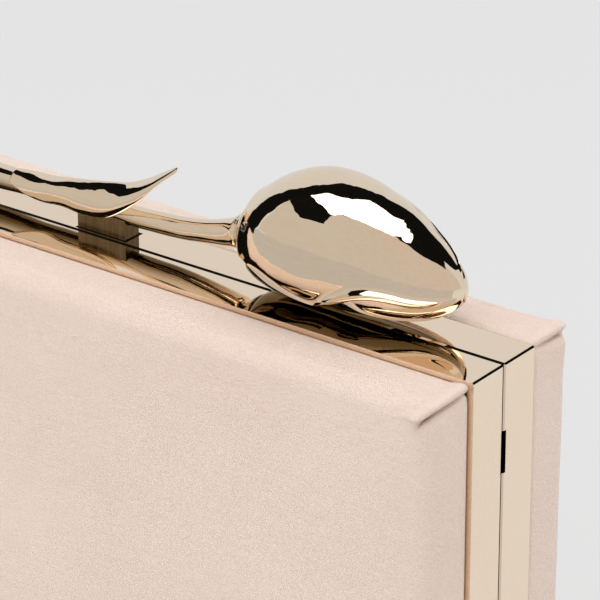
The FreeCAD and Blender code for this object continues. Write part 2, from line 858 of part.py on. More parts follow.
def make_hook():
    """The hook plate on the post's front, with an arm that reaches into the front rail."""
    body = new_body("latch_hook")
    front = size("post_front")
    plate_front = front - size("hook_plate")
    foot = top - size("post_drop")
    arm_top = top - size("hook_top_drop")
    arm_low = arm_top - size("hook_arm")
    nose_low = arm_low - size("nose_drop")
    nose_front = -size("hook_reach")
    nose_back = size("nose_thick") - size("hook_reach")
    shape = sketch_on(body, "hook_outline", "YZ_Plane", ZERO)
    outline(shape, [
        (front, foot), (front, arm_top), (nose_front, arm_top), (nose_front, nose_low + size("nose_slope")),
        (nose_front + size("nose_slope"), nose_low), (nose_back, nose_low), (nose_back, arm_low),
        (plate_front, arm_low), (plate_front, foot)])
    pad(body, "hook_strip", shape, size("hook_width"), both=True)
    holes = sketch_on(body, "hook_holes", "XZ_Plane", ZERO)
    for _, x in screw_places():
        hole(holes, x, top - size("screw_drop"), size("screw_radius") + size("screw_clear"))
    pocket(body, "hook_screw_holes", holes, (front + size("overrun")) * 2)
    return body


def make_screws():
    """The two screws that hold the hook to the post."""
    pieces = []
    seat = size("post_front") - size("hook_plate")
    z = top - size("screw_drop")
    for name, x in screw_places():
        head_start = seat - size("screw_head_thick")
        pieces.append(rod("screw_head_%s" % name, "Y", (x, head_start, z), size("screw_head_thick"),
                          size("screw_head_radius")))
        pieces.append(rod("screw_shank_%s" % name, "Y", (x, seat, z), size("hook_plate") + size("screw_bite"),
                          size("screw_radius")))
    return fuse("hook_screws", pieces)


def make_keeper():
    """The bent strip under the front rail that the hook's nose drops behind."""
    body = new_body("latch_keeper")
    thick = size("keeper_thick")
    nose_low = top - size("hook_top_drop") - size("hook_arm") - size("nose_drop")
    lip_top = nose_low + size("latch_bite")
    foot_top = nose_low - size("keeper_foot_clear")
    lip_front = size("nose_thick") - size("hook_reach") + size("latch_gap")
    leg_inner = -size("hook_reach") - size("keeper_leg_clear")
    leg_outer = leg_inner - thick
    base_end = leg_inner - size("keeper_base")
    shape = sketch_on(body, "keeper_outline", "YZ_Plane", ZERO)
    outline(shape, [
        (base_end, under_top), (leg_inner, under_top), (leg_inner, foot_top), (lip_front, foot_top),
        (lip_front, lip_top), (lip_front + thick, lip_top), (lip_front + thick, foot_top - thick),
        (leg_outer, foot_top - thick), (leg_outer, under_top - thick), (base_end, under_top - thick)])
    pad(body, "keeper_strip", shape, size("keeper_width"), both=True)
    return body


def make_bracket():
    """The channel under the back rail that carries the pivot pin."""
    ear_in = post_half + size("ear_side_clear")
    ear_out = ear_in + size("ear_thick")
    front = half_gap + size("lip_thick") + size("bracket_front_clear")
    bridge = post_back + size("bridge_gap")
    back = bridge + size("bridge_thick")
    ear_z = (pivot_z - size("ear_margin"), under_top)
    foot_end = ear_out + size("foot_reach")
    foot_z = (under_top - size("bridge_thick"), under_top)
    pieces = [
        block("bracket_bridge", (-ear_out, ear_out), (bridge, back), ear_z),
        block("bracket_ear_left", (-ear_out, -ear_in), (front, back), ear_z),
        block("bracket_ear_right", (ear_in, ear_out), (front, back), ear_z),
        block("bracket_foot_left", (-foot_end, -ear_out), (front, back), foot_z),
        block("bracket_foot_right", (ear_out, foot_end), (front, back), foot_z),
    ]
    bore = rod("bracket_bore", "X", (-half_width, pivot_y, pivot_z), half_width * 2,
               size("pivot_radius") + size("ear_hole_clear"))
    bracket = cut("latch_bracket", fuse("bracket_solid", pieces), bore)
    pin = rod("latch_pivot_pin", "X", (-ear_out, pivot_y, pivot_z), ear_out * 2, size("pivot_radius"))
    return [bracket, pin]


def make_spring():
    """A bowed strip between the bracket's bridge and the back of the post."""
    thick = size("spring_thick").value
    half = size("spring_span").value / 2
    crown = post_back.value + size("spring_touch").value
    ends = post_back.value + size("bridge_gap").value - size("spring_touch").value
    low = under_top.value - size("spring_top_clear").value - size("spring_height").value
    front = [point(-half, ends - thick, low), point(0, crown, low), point(half, ends - thick, low)]
    back = [point(half, ends, low), point(0, crown + thick, low), point(-half, ends, low)]
    edges = [
        Part.Arc(*front).toShape(),
        Part.makeLine(front[2], back[0]),
        Part.Arc(*back).toShape(),
        Part.makeLine(back[2], front[0]),
    ]
    strip = Part.Face(Part.Wire(edges)).extrude(Vector(0, 0, size("spring_height").value))
    return shaped("latch_spring", strip)


# Assembly

stem = make_stem()
nodes = [make_frame("front_frame", -1), make_frame("back_frame", 1)]
nodes += make_panel("front", -1)
nodes += make_panel("back", 1)
nodes += make_hinge()
nodes += [make_lug("chain_lug_left", -1), make_lug("chain_lug_right", 1)]
nodes += make_bracket()
nodes += [make_spring(), make_post(stem), make_hook(), make_screws(), make_keeper()]
nodes += [stem, make_leaf(), make_core()]
nodes += make_petals()
doc.recompute()

for thing in doc.Objects:
    if "Invalid" in thing.State or "Error" in thing.State:
        raise RuntimeError("%s did not build: %s" % (thing.Name, thing.State))
for node in nodes:
    if node.Shape.isNull() or not node.Shape.isValid():
        raise RuntimeError("%s has no valid shape" % node.Label)

os.makedirs("parts", exist_ok=True)
for node in nodes:
    node.Shape.exportStep("parts/%s.step" % node.Label)
    box = node.Shape.BoundBox
    print("%-18s %2d solids %9.1f mm3  X %.1f..%.1f  Y %.1f..%.1f  Z %.1f..%.1f" % (
        node.Label, len(node.Shape.Solids), node.Shape.Volume,
        box.XMin, box.XMax, box.YMin, box.YMax, box.ZMin, box.ZMax))
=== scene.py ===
# %% [markdown]
# A minaudière is a small hard evening bag. This one is two satin covered halves in a polished
# pale gold frame, and its clasp is a cast flower: a bud with its stem and one leaf.
# The frame comes from CAD and stays as it is. This lesson gives it its finishes, and models again
# what was sewn or cast by hand, because those shapes are never quite as even as a drawing.

# %% Load the frame
import math

import bpy
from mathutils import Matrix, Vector


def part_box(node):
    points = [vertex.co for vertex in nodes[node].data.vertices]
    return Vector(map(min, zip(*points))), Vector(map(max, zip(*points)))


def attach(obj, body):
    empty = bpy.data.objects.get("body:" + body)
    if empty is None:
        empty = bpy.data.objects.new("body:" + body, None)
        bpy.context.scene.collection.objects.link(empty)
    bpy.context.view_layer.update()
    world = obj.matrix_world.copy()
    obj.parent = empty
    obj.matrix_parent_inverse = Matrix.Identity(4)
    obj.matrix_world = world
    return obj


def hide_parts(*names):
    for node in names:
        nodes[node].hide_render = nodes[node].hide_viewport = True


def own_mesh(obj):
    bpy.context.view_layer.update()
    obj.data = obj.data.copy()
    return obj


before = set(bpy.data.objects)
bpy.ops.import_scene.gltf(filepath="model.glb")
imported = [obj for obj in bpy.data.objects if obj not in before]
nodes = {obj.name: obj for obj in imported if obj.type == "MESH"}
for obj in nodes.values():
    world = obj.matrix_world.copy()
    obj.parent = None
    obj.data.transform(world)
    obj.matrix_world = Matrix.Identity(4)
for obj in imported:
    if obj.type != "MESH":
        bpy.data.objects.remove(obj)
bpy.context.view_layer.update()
MM = 0.001

# %% [markdown]
# The camera comes first, so that every later step can be compared with the photograph.
# The picture was taken with a long lens from the right and a little above. With so little
# perspective, the angle matters more than the distance, so both angles are written down and
# the camera is turned from them instead of being aimed by eye.

# %% The camera
AZIMUTH_DEG = 37.25
ELEVATION_DEG = 24.86
ROLL_DEG = -0.21
CAMERA_PLACE = (0.3651, -0.4234, 0.3544)
LENS_MM = 215.2

turn = math.radians(AZIMUTH_DEG)
rise = math.radians(ELEVATION_DEG)
away = Vector((math.sin(turn) * math.cos(rise), -math.cos(turn) * math.cos(rise), math.sin(rise)))
bpy.ops.object.select_all(action="DESELECT")
bpy.ops.object.camera_add(location=CAMERA_PLACE)
camera = bpy.context.object
camera.name = "camera"
camera.rotation_euler = away.to_track_quat("Z", "Y").to_euler()
camera.rotation_euler.rotate_axis("Z", math.radians(ROLL_DEG))
camera.data.sensor_fit = "HORIZONTAL"
camera.data.sensor_width = 36
camera.data.lens = LENS_MM
camera.data.clip_start = 0.01
bpy.context.scene.camera = camera
print("Camera turned", AZIMUTH_DEG, "degrees to the right and", ELEVATION_DEG, "up")

# %% [markdown]
# Shader nodes are placed in code here. A few small helpers keep that readable: they add a node with its
# settings, join sockets, and start a material, or a node group with named inputs and outputs.
# A group is worth making when several finishes share an effect, such as the faint waves of polishing.

# %% Helpers for nodes
def dial(node, inputs):
    """Sets a node's inputs by name, with underscores for the spaces."""
    for name, value in inputs.items():
        node.inputs[name.replace("_", " ")].default_value = value
    return node


def add(tree, kind, settings=None, **inputs):
    """Adds a node, sets its properties and the values of its inputs."""
    made = tree.nodes.new(kind)
    for name, value in (settings or {}).items():
        setattr(made, name, value)
    return dial(made, inputs)


def join(tree, source, target):
    tree.links.new(source, target)


def start_group(name, inputs, outputs):
    """An empty node group with named number inputs and outputs."""
    tree = bpy.data.node_groups.new(name, "ShaderNodeTree")
    for label, value in inputs.items():
        socket = tree.interface.new_socket(label, in_out="INPUT", socket_type="NodeSocketFloat")
        socket.default_value = value
    for label in outputs:
        tree.interface.new_socket(label, in_out="OUTPUT", socket_type="NodeSocketFloat")
    return tree, tree.nodes.new("NodeGroupInput"), tree.nodes.new("NodeGroupOutput")


def start_material(name, **inputs):
    """A material with its Principled shader, ready for nodes to be joined to it."""
    material = bpy.data.materials.new(name)
    material.use_nodes = True
    tree = material.node_tree
    return material, tree, dial(tree.nodes["Principled BSDF"], inputs)


def use_group(tree, group, **inputs):
    made = tree.nodes.new("ShaderNodeGroup")
    made.node_tree = group
    return dial(made, inputs)


print("Node helpers ready")

# %% [markdown]
# Polished metal has almost no look of its own: it shows the room. So the studio is built as a
# photographer would build it for jewellery. The floor and the surroundings are pale, a large
# softbox hangs overhead, and black cards beside it draw the dark lines that give the gold its shape.
# The cards are seen in reflections only, so they take no light from the satin. The back half stands on
# a small pale riser, so that the front half has room to swing down and lie open on the floor.

# %% The floor and the surroundings
PALE = 0.725
FLOOR_Z = -0.0187


def show_to_sight(tree):
    """A mask for what is seen directly, in a mirror or through glass."""
    sight = add(tree, "ShaderNodeLightPath")
    mask = sight.outputs["Is Camera Ray"]
    for label in ("Is Glossy Ray", "Is Transmission Ray"):
        larger = add(tree, "ShaderNodeMath", {"operation": "MAXIMUM"})
        join(tree, mask, larger.inputs[0])
        join(tree, sight.outputs[label], larger.inputs[1])
        mask = larger.outputs[0]
    return mask


bpy.ops.object.select_all(action="DESELECT")
bpy.ops.mesh.primitive_plane_add(size=6, location=(0, 0, FLOOR_Z))
floor = bpy.context.object
floor.name = "floor"
bpy.ops.object.select_all(action="DESELECT")
bpy.ops.mesh.primitive_cube_add(size=1, location=(0, 0.011, FLOOR_Z / 2 - 0.0001),
                                scale=(0.12, 0.013, -FLOOR_Z))
riser = bpy.context.object
riser.name = "riser"
paint, tree, shader = start_material("pale_floor", Base_Color=(0.715, 0.715, 0.715, 1), Roughness=0.9,
                                     Specular_IOR_Level=0.1)
glow = add(tree, "ShaderNodeEmission", Color=(PALE, PALE, PALE, 1), Strength=1.0)
half = add(tree, "ShaderNodeMath", {"operation": "MULTIPLY"})
half.inputs[1].default_value = 0.6
join(tree, show_to_sight(tree), half.inputs[0])
blend = add(tree, "ShaderNodeMixShader")
join(tree, half.outputs[0], blend.inputs[0])
join(tree, shader.outputs[0], blend.inputs[1])
join(tree, glow.outputs[0], blend.inputs[2])
join(tree, blend.outputs[0], tree.nodes["Material Output"].inputs["Surface"])
for surface in (floor, riser):
    surface.data.materials.append(paint)

world = bpy.data.worlds.new("pale_surroundings")
bpy.context.scene.world = world
world.use_nodes = True
tree = world.node_tree
backdrop = tree.nodes["Background"]
level = add(tree, "ShaderNodeMapRange", To_Min=1.0, To_Max=0.74)
join(tree, show_to_sight(tree), level.inputs["Value"])
backdrop.inputs["Color"].default_value = (1, 1, 1, 1)
join(tree, level.outputs["Result"], backdrop.inputs["Strength"])
print("Floor and surroundings made")

# %% The softbox and the cards
SOFTBOX_HEIGHT = 1.22
SOFTBOX_OUTLINE = ((-0.56, -0.12), (-0.02, -0.58), (0.16, -0.36), (0.4, -0.2), (0.68, -0.04),
                   (0.72, 0.2), (0.42, 0.95), (0.33, 0.72), (0.16, 0.6), (0.0, 0.24))
BLACK_OUTLINE = ((-4.0, -0.65), (-2.67, -0.4), (-1.32, -0.29), (-1.04, -0.75), (-0.89, -1.21),
                 (-0.53, -1.15), (-0.07, -1.1), (0.0, -0.55), (0.4, -0.19), (0.68, -0.03), (0.93, 0.07),
                 (1.1, 0.26), (1.34, 0.64), (1.0, 1.05), (1.25, 1.45), (1.5, 2.4), (1.4, 5.4), (-0.41, 3.9),
                 (-0.14, 2.29), (-0.16, 1.51), (-0.29, 0.88), (-0.53, 0.45), (-0.99, 0.21), (-1.61, 0.17),
                 (-3.54, 0.72))
FLOOR_OUTLINE = ((-3, -1.6), (2.2, -1.6), (2.2, -0.03), (-3, -0.03))
BLACK = (0.006, 0.006, 0.006)


def level_card(outline, z):
    return [(x, y, z) for x, y in outline]


def upright_card(start, end, top):
    """The corners of a card that stands on the floor between two places."""
    return [(*start, FLOOR_Z), (*end, FLOOR_Z), (*end, top), (*start, top)]


def card(name, corners, colour):
    """A flat card with its corners in order round it. It is only seen in polished surfaces."""
    bpy.ops.object.select_all(action="DESELECT")
    bpy.ops.mesh.primitive_circle_add(vertices=len(corners), radius=1, fill_type="NGON")
    made = bpy.context.object
    made.name = name
    for vertex, corner in zip(made.data.vertices, corners):
        vertex.co = corner
    paint = bpy.data.materials.new(name)
    paint.use_nodes = True
    tree = paint.node_tree
    glow = add(tree, "ShaderNodeEmission", Color=(*colour, 1), Strength=1.0)
    join(tree, glow.outputs[0], tree.nodes["Material Output"].inputs["Surface"])
    made.data.materials.append(paint)
    made.visible_camera = False
    made.visible_diffuse = False
    made.visible_transmission = False
    made.visible_shadow = False
    return made


bpy.ops.object.light_add(type="AREA", location=(0.2, -0.05, SOFTBOX_HEIGHT))
softbox = bpy.context.object
softbox.name = "softbox"
softbox.data.shape = "RECTANGLE"
softbox.data.size = 0.9
softbox.data.size_y = 0.75
softbox.data.energy = 4.15
softbox.visible_glossy = False
ceiling = SOFTBOX_HEIGHT + 0.03
card("softbox_cloth", level_card(SOFTBOX_OUTLINE, SOFTBOX_HEIGHT), (2.2, 2.2, 2.2))
card("ceiling_card", level_card(BLACK_OUTLINE, ceiling), BLACK)
card("side_card", upright_card((-0.9, -0.15), (-0.9, 0.22), ceiling), BLACK)
card("front_card", upright_card((-8, -1.6), (2.2, -1.6), 9), (0.65, 0.61, 0.57))
card("right_card", upright_card((2.2, -1.6), (2.2, 1.5), 9), (0.675, 0.597, 0.556))
card("floor_card", level_card(FLOOR_OUTLINE, FLOOR_Z + 0.0003), (0.58, 0.565, 0.55))
bpy.ops.object.light_add(type="AREA", location=(-0.5, -1.3, 0.7))
fill = bpy.context.object
fill.name = "front_fill"
fill.data.size = 1.0
fill.data.energy = 2.2
fill.rotation_euler = (fill.location - Vector((0, 0, 0.06))).to_track_quat("Z", "Y").to_euler()
fill.visible_glossy = False
print("Softbox", softbox.data.energy, "watts, fill", fill.data.energy, "watts, with six cards")

# %% [markdown]
# Finishes. Pale gold plate is a mirror with a warm tint: a metal of one colour, hardly any roughness,
# and very low waves left by the polishing wheel. The waves and the faint wiping marks are two node
# groups, because the rails, the cast flower and the small fittings all have them, each in its own size.

# %% Polishing waves and wiping marks
polish_waves, inside, out = start_group(
    "polish_waves", {"Length": 0.02, "Fine Length": 0.004, "Fine Share": 0.2}, ["Height"])
tree = polish_waves
place = add(tree, "ShaderNodeTexCoord")
parts = []
for label in ("Length", "Fine Length"):
    per_metre = add(tree, "ShaderNodeMath", {"operation": "DIVIDE"})
    per_metre.inputs[0].default_value = 1.0
    join(tree, inside.outputs[label], per_metre.inputs[1])
    wave = add(tree, "ShaderNodeTexNoise", Detail=1.0, Roughness=0.4)
    join(tree, place.outputs["Object"], wave.inputs["Vector"])
    join(tree, per_metre.outputs[0], wave.inputs["Scale"])
    parts.append(wave)
sum_up = add(tree, "ShaderNodeMath", {"operation": "MULTIPLY_ADD"})
join(tree, parts[1].outputs[0], sum_up.inputs[0])
join(tree, inside.outputs["Fine Share"], sum_up.inputs[1])
join(tree, parts[0].outputs[0], sum_up.inputs[2])
join(tree, sum_up.outputs[0], out.inputs["Height"])

wiping_marks, inside, out = start_group("wiping_marks", {"Length": 0.03, "Width": 0.0006}, ["Mask"])
tree = wiping_marks
place = add(tree, "ShaderNodeTexCoord")
stretch = add(tree, "ShaderNodeCombineXYZ")
along = add(tree, "ShaderNodeMath", {"operation": "DIVIDE"})
along.inputs[0].default_value = 1.0
across = add(tree, "ShaderNodeMath", {"operation": "DIVIDE"})
across.inputs[0].default_value = 1.0
join(tree, inside.outputs["Length"], along.inputs[1])
join(tree, inside.outputs["Width"], across.inputs[1])
join(tree, along.outputs[0], stretch.inputs[0])
join(tree, across.outputs[0], stretch.inputs[1])
join(tree, across.outputs[0], stretch.inputs[2])
scaled = add(tree, "ShaderNodeVectorMath", {"operation": "MULTIPLY"})
join(tree, place.outputs["Object"], scaled.inputs[0])
join(tree, stretch.outputs[0], scaled.inputs[1])
streaks = add(tree, "ShaderNodeTexNoise", Scale=1.0, Detail=2.0, Roughness=0.5)
join(tree, scaled.outputs[0], streaks.inputs["Vector"])
haze = add(tree, "ShaderNodeTexNoise", Scale=60.0, Detail=2.0)
join(tree, place.outputs["Object"], haze.inputs["Vector"])
marks = add(tree, "ShaderNodeMath", {"operation": "MULTIPLY"})
join(tree, streaks.outputs[0], marks.inputs[0])
join(tree, haze.outputs[0], marks.inputs[1])
contrast = add(tree, "ShaderNodeMapRange", From_Min=0.15, From_Max=0.4)
join(tree, marks.outputs[0], contrast.inputs["Value"])
join(tree, contrast.outputs["Result"], out.inputs["Mask"])
print("Groups:", polish_waves.name, wiping_marks.name)

# %% Pale gold for the rails, the flower and the fittings
# The dark brown of the painted shade on the flower's underside.
UNDERSIDE_SHADE = (0.13, 0.10, 0.05)


def gold(name, tone, deep_tone, smooth, hazy, length, fine, fine_share, depth, shade_heights=None):
    """Plated metal: its tone dulls a little where it was wiped, and its surface is hardly wavy. Given two
    heights in metres, painted shade darkens its colour to a dark brown below them, fading between the two."""
    material, tree, shader = start_material(name, Metallic=1.0)
    waves = use_group(tree, polish_waves, Length=length, Fine_Length=fine, Fine_Share=fine_share)
    marks = use_group(tree, wiping_marks)
    colour = add(tree, "ShaderNodeMix", {"data_type": "RGBA"})
    colour.inputs[6].default_value = (*tone, 1)
    colour.inputs[7].default_value = (*deep_tone, 1)
    join(tree, marks.outputs["Mask"], colour.inputs["Factor"])
    toned = colour.outputs[2]
    # Painted shade: below the given heights the colour darkens to the dark brown, as if in the flower's
    # shadow.
    if shade_heights:
        place = add(tree, "ShaderNodeTexCoord")
        axes = add(tree, "ShaderNodeSeparateXYZ")
        join(tree, place.outputs["Object"], axes.inputs[0])
        shade_share = add(tree, "ShaderNodeMapRange", {"interpolation_type": "SMOOTHSTEP"},
                     From_Min=shade_heights[0], From_Max=shade_heights[1])
        join(tree, axes.outputs["Z"], shade_share.inputs["Value"])
        shaded_colour = add(tree, "ShaderNodeMix", {"data_type": "RGBA"})
        shaded_colour.inputs[6].default_value = (*UNDERSIDE_SHADE, 1)
        join(tree, shade_share.outputs["Result"], shaded_colour.inputs["Factor"])
        join(tree, toned, shaded_colour.inputs[7])
        toned = shaded_colour.outputs[2]
    join(tree, toned, shader.inputs["Base Color"])
    shine = add(tree, "ShaderNodeMapRange", To_Min=smooth, To_Max=hazy)
    join(tree, marks.outputs["Mask"], shine.inputs["Value"])
    join(tree, shine.outputs["Result"], shader.inputs["Roughness"])
    bump = add(tree, "ShaderNodeBump", Strength=1.0, Distance=depth)
    join(tree, waves.outputs["Height"], bump.inputs["Height"])
    join(tree, bump.outputs["Normal"], shader.inputs["Normal"])
    return material


CAST = ((0.905, 0.77, 0.605), (0.875, 0.73, 0.555), 0.015, 0.035, 0.0045, 0.0016, 0.1, 0.00016)
rail_gold = gold("rail_gold", (0.96, 0.80, 0.63), (0.94, 0.775, 0.60),
                 0.03, 0.06, 0.03, 0.006, 0.1, 0.00008)
cast_gold = gold("cast_gold", *CAST)
# The stem and the lowest petal get painted shade on their undersides.
stem_gold_shaded_below = gold("stem_gold_shaded_below", *CAST, shade_heights=(0.1108, 0.1132))
under_gold_shaded_below = gold("under_gold_shaded_below", *CAST, shade_heights=(0.1095, 0.119))
fitting_gold = gold("fitting_gold", (0.86, 0.70, 0.50), (0.78, 0.62, 0.42),
                    0.12, 0.28, 0.01, 0.001, 0.3, 0.00008)
print("Gold finishes:", rail_gold.name, cast_gold.name, fitting_gold.name)

# %% [markdown]
# The small fittings keep their CAD shape. Plated fittings are a little hazier than the frame, the latch
# spring is bare steel strip, and the boards inside the halves are grey card with visible fibres.
# The clasp's post is dark bronze, brushed upright, so that it recedes under the bright stem.

# %% Steel, board and the CAD nodes that stay
spring_steel = gold("spring_steel", (0.56, 0.56, 0.55), (0.46, 0.46, 0.46),
                    0.2, 0.35, 0.004, 0.0008, 0.3, 0.00003)

post_bronze, tree, shader = start_material("post_bronze", Metallic=1.0)
place = add(tree, "ShaderNodeTexCoord")
upright = add(tree, "ShaderNodeVectorMath", {"operation": "MULTIPLY"})
upright.inputs[1].default_value = (1500, 1500, 90)
join(tree, place.outputs["Object"], upright.inputs[0])
brush = add(tree, "ShaderNodeTexNoise", Scale=1.0, Detail=2.0, Roughness=0.6)
join(tree, upright.outputs[0], brush.inputs["Vector"])
tone = add(tree, "ShaderNodeMix", {"data_type": "RGBA"})
tone.inputs[6].default_value = (0.06, 0.042, 0.02, 1)
tone.inputs[7].default_value = (0.30, 0.22, 0.12, 1)
join(tree, brush.outputs[0], tone.inputs["Factor"])
join(tree, tone.outputs[2], shader.inputs["Base Color"])
dull = add(tree, "ShaderNodeMapRange", To_Min=0.22, To_Max=0.45)
join(tree, brush.outputs[0], dull.inputs["Value"])
join(tree, dull.outputs["Result"], shader.inputs["Roughness"])
bump = add(tree, "ShaderNodeBump", Strength=1.0, Distance=0.00004)
join(tree, brush.outputs[0], bump.inputs["Height"])
join(tree, bump.outputs["Normal"], shader.inputs["Normal"])

shell_board, tree, shader = start_material("shell_board", Roughness=0.85)
place = add(tree, "ShaderNodeTexCoord")
fibres = add(tree, "ShaderNodeTexNoise", Scale=900.0, Detail=4.0, Roughness=0.7)
join(tree, place.outputs["Object"], fibres.inputs["Vector"])
pulp = add(tree, "ShaderNodeMix", {"data_type": "RGBA"})
pulp.inputs[6].default_value = (0.34, 0.31, 0.27, 1)
pulp.inputs[7].default_value = (0.48, 0.45, 0.40, 1)
join(tree, fibres.outputs[0], pulp.inputs["Factor"])
join(tree, pulp.outputs[2], shader.inputs["Base Color"])
bump = add(tree, "ShaderNodeBump", Strength=1.0, Distance=0.00008)
join(tree, fibres.outputs[0], bump.inputs["Height"])
join(tree, bump.outputs["Normal"], shader.inputs["Normal"])

DRESS = {
    rail_gold: ["front_frame", "back_frame"],
    post_bronze: ["clasp_post"],
    fitting_gold: ["front_hinge_leaf", "back_hinge_leaf", "hinge_pin", "chain_lug_left", "chain_lug_right",
                   "latch_bracket", "latch_pivot_pin", "latch_hook", "latch_keeper", "hook_screws"],
    shell_board: ["front_shell", "back_shell"],
}
for material, names in DRESS.items():
    for name in names:
        nodes[name].data.materials.clear()
        nodes[name].data.materials.append(material)
print("Dressed", sum(len(names) for names in DRESS.values()), "CAD nodes")

# %% [markdown]
# Modelling is done with the same operators that a person uses in the 3-D view. An operator acts on
# whatever is selected, so helpers take care of that: one makes a single object active, one opens it in
# edit mode with chosen parts selected, and one adds a modifier and applies it at once.

# %% Helpers for modelling
SELECT_MODES = {"VERT": (True, False, False), "EDGE": (False, True, False), "FACE": (False, False, True)}


def pick(piece):
    bpy.ops.object.select_all(action="DESELECT")
    piece.select_set(True)
    bpy.context.view_layer.objects.active = piece


def new_piece(name):
    """Names the primitive that was just added and puts its place into its mesh."""
    piece = bpy.context.object
    piece.name = name
    piece.data.name = name
    bpy.ops.object.transform_apply(location=True, rotation=True, scale=True)
    return piece


def open_with(piece, kind, test):
    """Opens a piece in edit mode with only those vertices, edges or faces selected that pass the test."""
    pick(piece)
    bpy.context.tool_settings.mesh_select_mode = SELECT_MODES[kind]
    bpy.ops.object.mode_set(mode="EDIT")
    bpy.ops.mesh.select_all(action="DESELECT")
    bpy.ops.object.mode_set(mode="OBJECT")
    mesh = piece.data
    for part in {"VERT": mesh.vertices, "EDGE": mesh.edges, "FACE": mesh.polygons}[kind]:
        if kind == "VERT":
            part.select = test(part.co)
        elif kind == "EDGE":
            part.select = test(*[mesh.vertices[index].co for index in part.vertices])
        else:
            part.select = test(part.center)
    bpy.ops.object.mode_set(mode="EDIT")


def close():
    bpy.ops.object.mode_set(mode="OBJECT")


def modify(piece, kind, **settings):
    """Adds a modifier with its settings and applies it."""
    pick(piece)
    bpy.ops.object.modifier_add(type=kind)
    modifier = piece.modifiers[-1]
    for name, value in settings.items():
        setattr(modifier, name, value)
    bpy.ops.object.modifier_apply(modifier=modifier.name)


def along_axis(axis):
    """A test for edges that run along one axis."""
    def test(start, end):
        run = end - start
        return abs(run[axis]) > 0.98 * run.length
    return test


def dress(piece, material, body, slot, *replaced):
    """Gives a finished piece its material, its body and the CAD nodes that it stands for."""
    piece.data.materials.append(material)
    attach(piece, body)
    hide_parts(*replaced)


def smooth(share):
    """Eases from 0 to 1."""
    share = min(max(share, 0.0), 1.0)
    return share * share * (3 - 2 * share)


print("Modelling helpers ready")

# %% [markdown]
# The satin covers. On the real bag a board is padded with thin foam, and the satin is pulled tight over
# it and glued behind the frame. The edges come out round, the face swells a little, and at each corner
# the spare cloth is laid in one small fold. A box that is open at the back is subdivided along each axis
# into a fine grid. Subdividing numbers the points in the same order every time, and the cloth
# simulation needs that to settle in the same way. Then the points are moved: first to round edges, then
# outwards by the padding, then into the folds.

# %% A cover's blank
SATIN_ROUND = 3.7
FRAME_ROUND = 1.3
FRAME_FACE = 8.5
FINE_ZONE = 9.0
COLUMNS, ROWS, LAYERS, FINE_CELLS = 124, 94, 24, 26


def spread(share, cells, half):
    """Places the grid's lines: close together near the edges, for the folds, and wide in the middle."""
    from_edge = (0.5 - abs(share)) * cells
    if from_edge < FINE_CELLS:
        inward = FINE_ZONE * from_edge / FINE_CELLS
    else:
        inward = FINE_ZONE + (half - FINE_ZONE) * (from_edge - FINE_CELLS) / (cells / 2 - FINE_CELLS)
    return math.copysign(half - inward, share)


def cover_blank(name, side, swell, fuller):
    """A box without its back, cut into a fine grid that reaches from the face of a pad to the frame.
    It leaves room to swell, and a fuller pad starts a little larger."""
    low, high = [Vector(corner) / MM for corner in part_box(name)]
    half = (high - low) / 2 + Vector((fuller / 2, 0, fuller / 2))
    middle = (high + low) / 2 + Vector((0, 0, fuller / 2))
    deep = max(abs(low.y), abs(high.y)) - FRAME_FACE - swell + fuller
    bpy.ops.object.select_all(action="DESELECT")
    bpy.ops.mesh.primitive_cube_add(size=1)
    piece = new_piece(name.replace("satin", "cover"))
    open_with(piece, "FACE", lambda c: c.z < -0.4)
    bpy.ops.mesh.delete(type="FACE")
    close()
    for axis, parts in ((0, COLUMNS // 2), (0, 2), (1, ROWS // 2), (1, 2), (2, LAYERS)):
        open_with(piece, "EDGE", along_axis(axis))
        bpy.ops.mesh.subdivide(number_cuts=parts - 1)
        close()
    for vertex in piece.data.vertices:
        x = spread(vertex.co.x, COLUMNS, half.x)
        z = spread(vertex.co.y, ROWS, half.z)
        y = FRAME_FACE + deep * (0.5 + vertex.co.z)
        vertex.co = Vector((middle.x + x, side * y, middle.z - side * z)) * MM
    piece.data.update()
    return piece, middle, half, deep


print("A cover has", COLUMNS * ROWS + 2 * (COLUMNS + ROWS) * LAYERS, "faces before it is thickened")

# %% Round edges


def draw_round(distances, radius):
    """Draws a square edge or corner to a round one. It takes and gives distances from the sides."""
    inward = [max(radius - distance, 0.0) for distance in distances]
    length = math.hypot(*inward)
    if length == 0:
        return distances
    pull = max(inward) / length
    return [radius - way * pull if way > 0 else distance for way, distance in zip(inward, distances)]


def shape_cover(piece, middle, half, deep, side):
    """Rounds the edges and tucks the rim in behind the frame."""
    for vertex in piece.data.vertices:
        x, y, z = vertex.co / MM - Vector((middle.x, 0, middle.z))
        from_face = FRAME_FACE + deep - abs(y)
        tight = smooth((from_face - SATIN_ROUND) / (deep - SATIN_ROUND))
        radius = SATIN_ROUND - (SATIN_ROUND - FRAME_ROUND) * tight
        from_side = half.x - abs(x)
        from_top = half.z - abs(z)
        if from_face < SATIN_ROUND:
            from_side, from_top, from_face = draw_round((from_side, from_top, from_face), radius)
        else:
            from_side, from_top = draw_round((from_side, from_top), radius)
        depth = deep - from_face
        tuck = 0.5 * (1 - smooth(depth / 0.9))
        near_side = 1 - smooth((from_side - 1) / 5)
        near_top = 1 - smooth((from_top - 1) / 5)
        from_side += tuck * near_side
        from_top += tuck * near_top
        vertex.co = Vector((middle.x + math.copysign(half.x - from_side, x),
                            side * (FRAME_FACE + depth),
                            middle.z + math.copysign(half.z - from_top, z))) * MM
    piece.data.update()


print("Covers get edges of", SATIN_ROUND, "mm radius, and", FRAME_ROUND, "mm where the frame holds them")

# %% [markdown]
# Padding pushes the satin out. Blender's cloth simulation shows where: the frame holds the rim, a
# pressure from inside stands for the foam, and gravity is off because the bag is stiff. The cloth settles
# for twenty frames. Foam under tight satin gives little, so the swell is then scaled to the millimetre
# or so that the photograph shows.

# %% Swell
SETTLE_FRAMES = 20


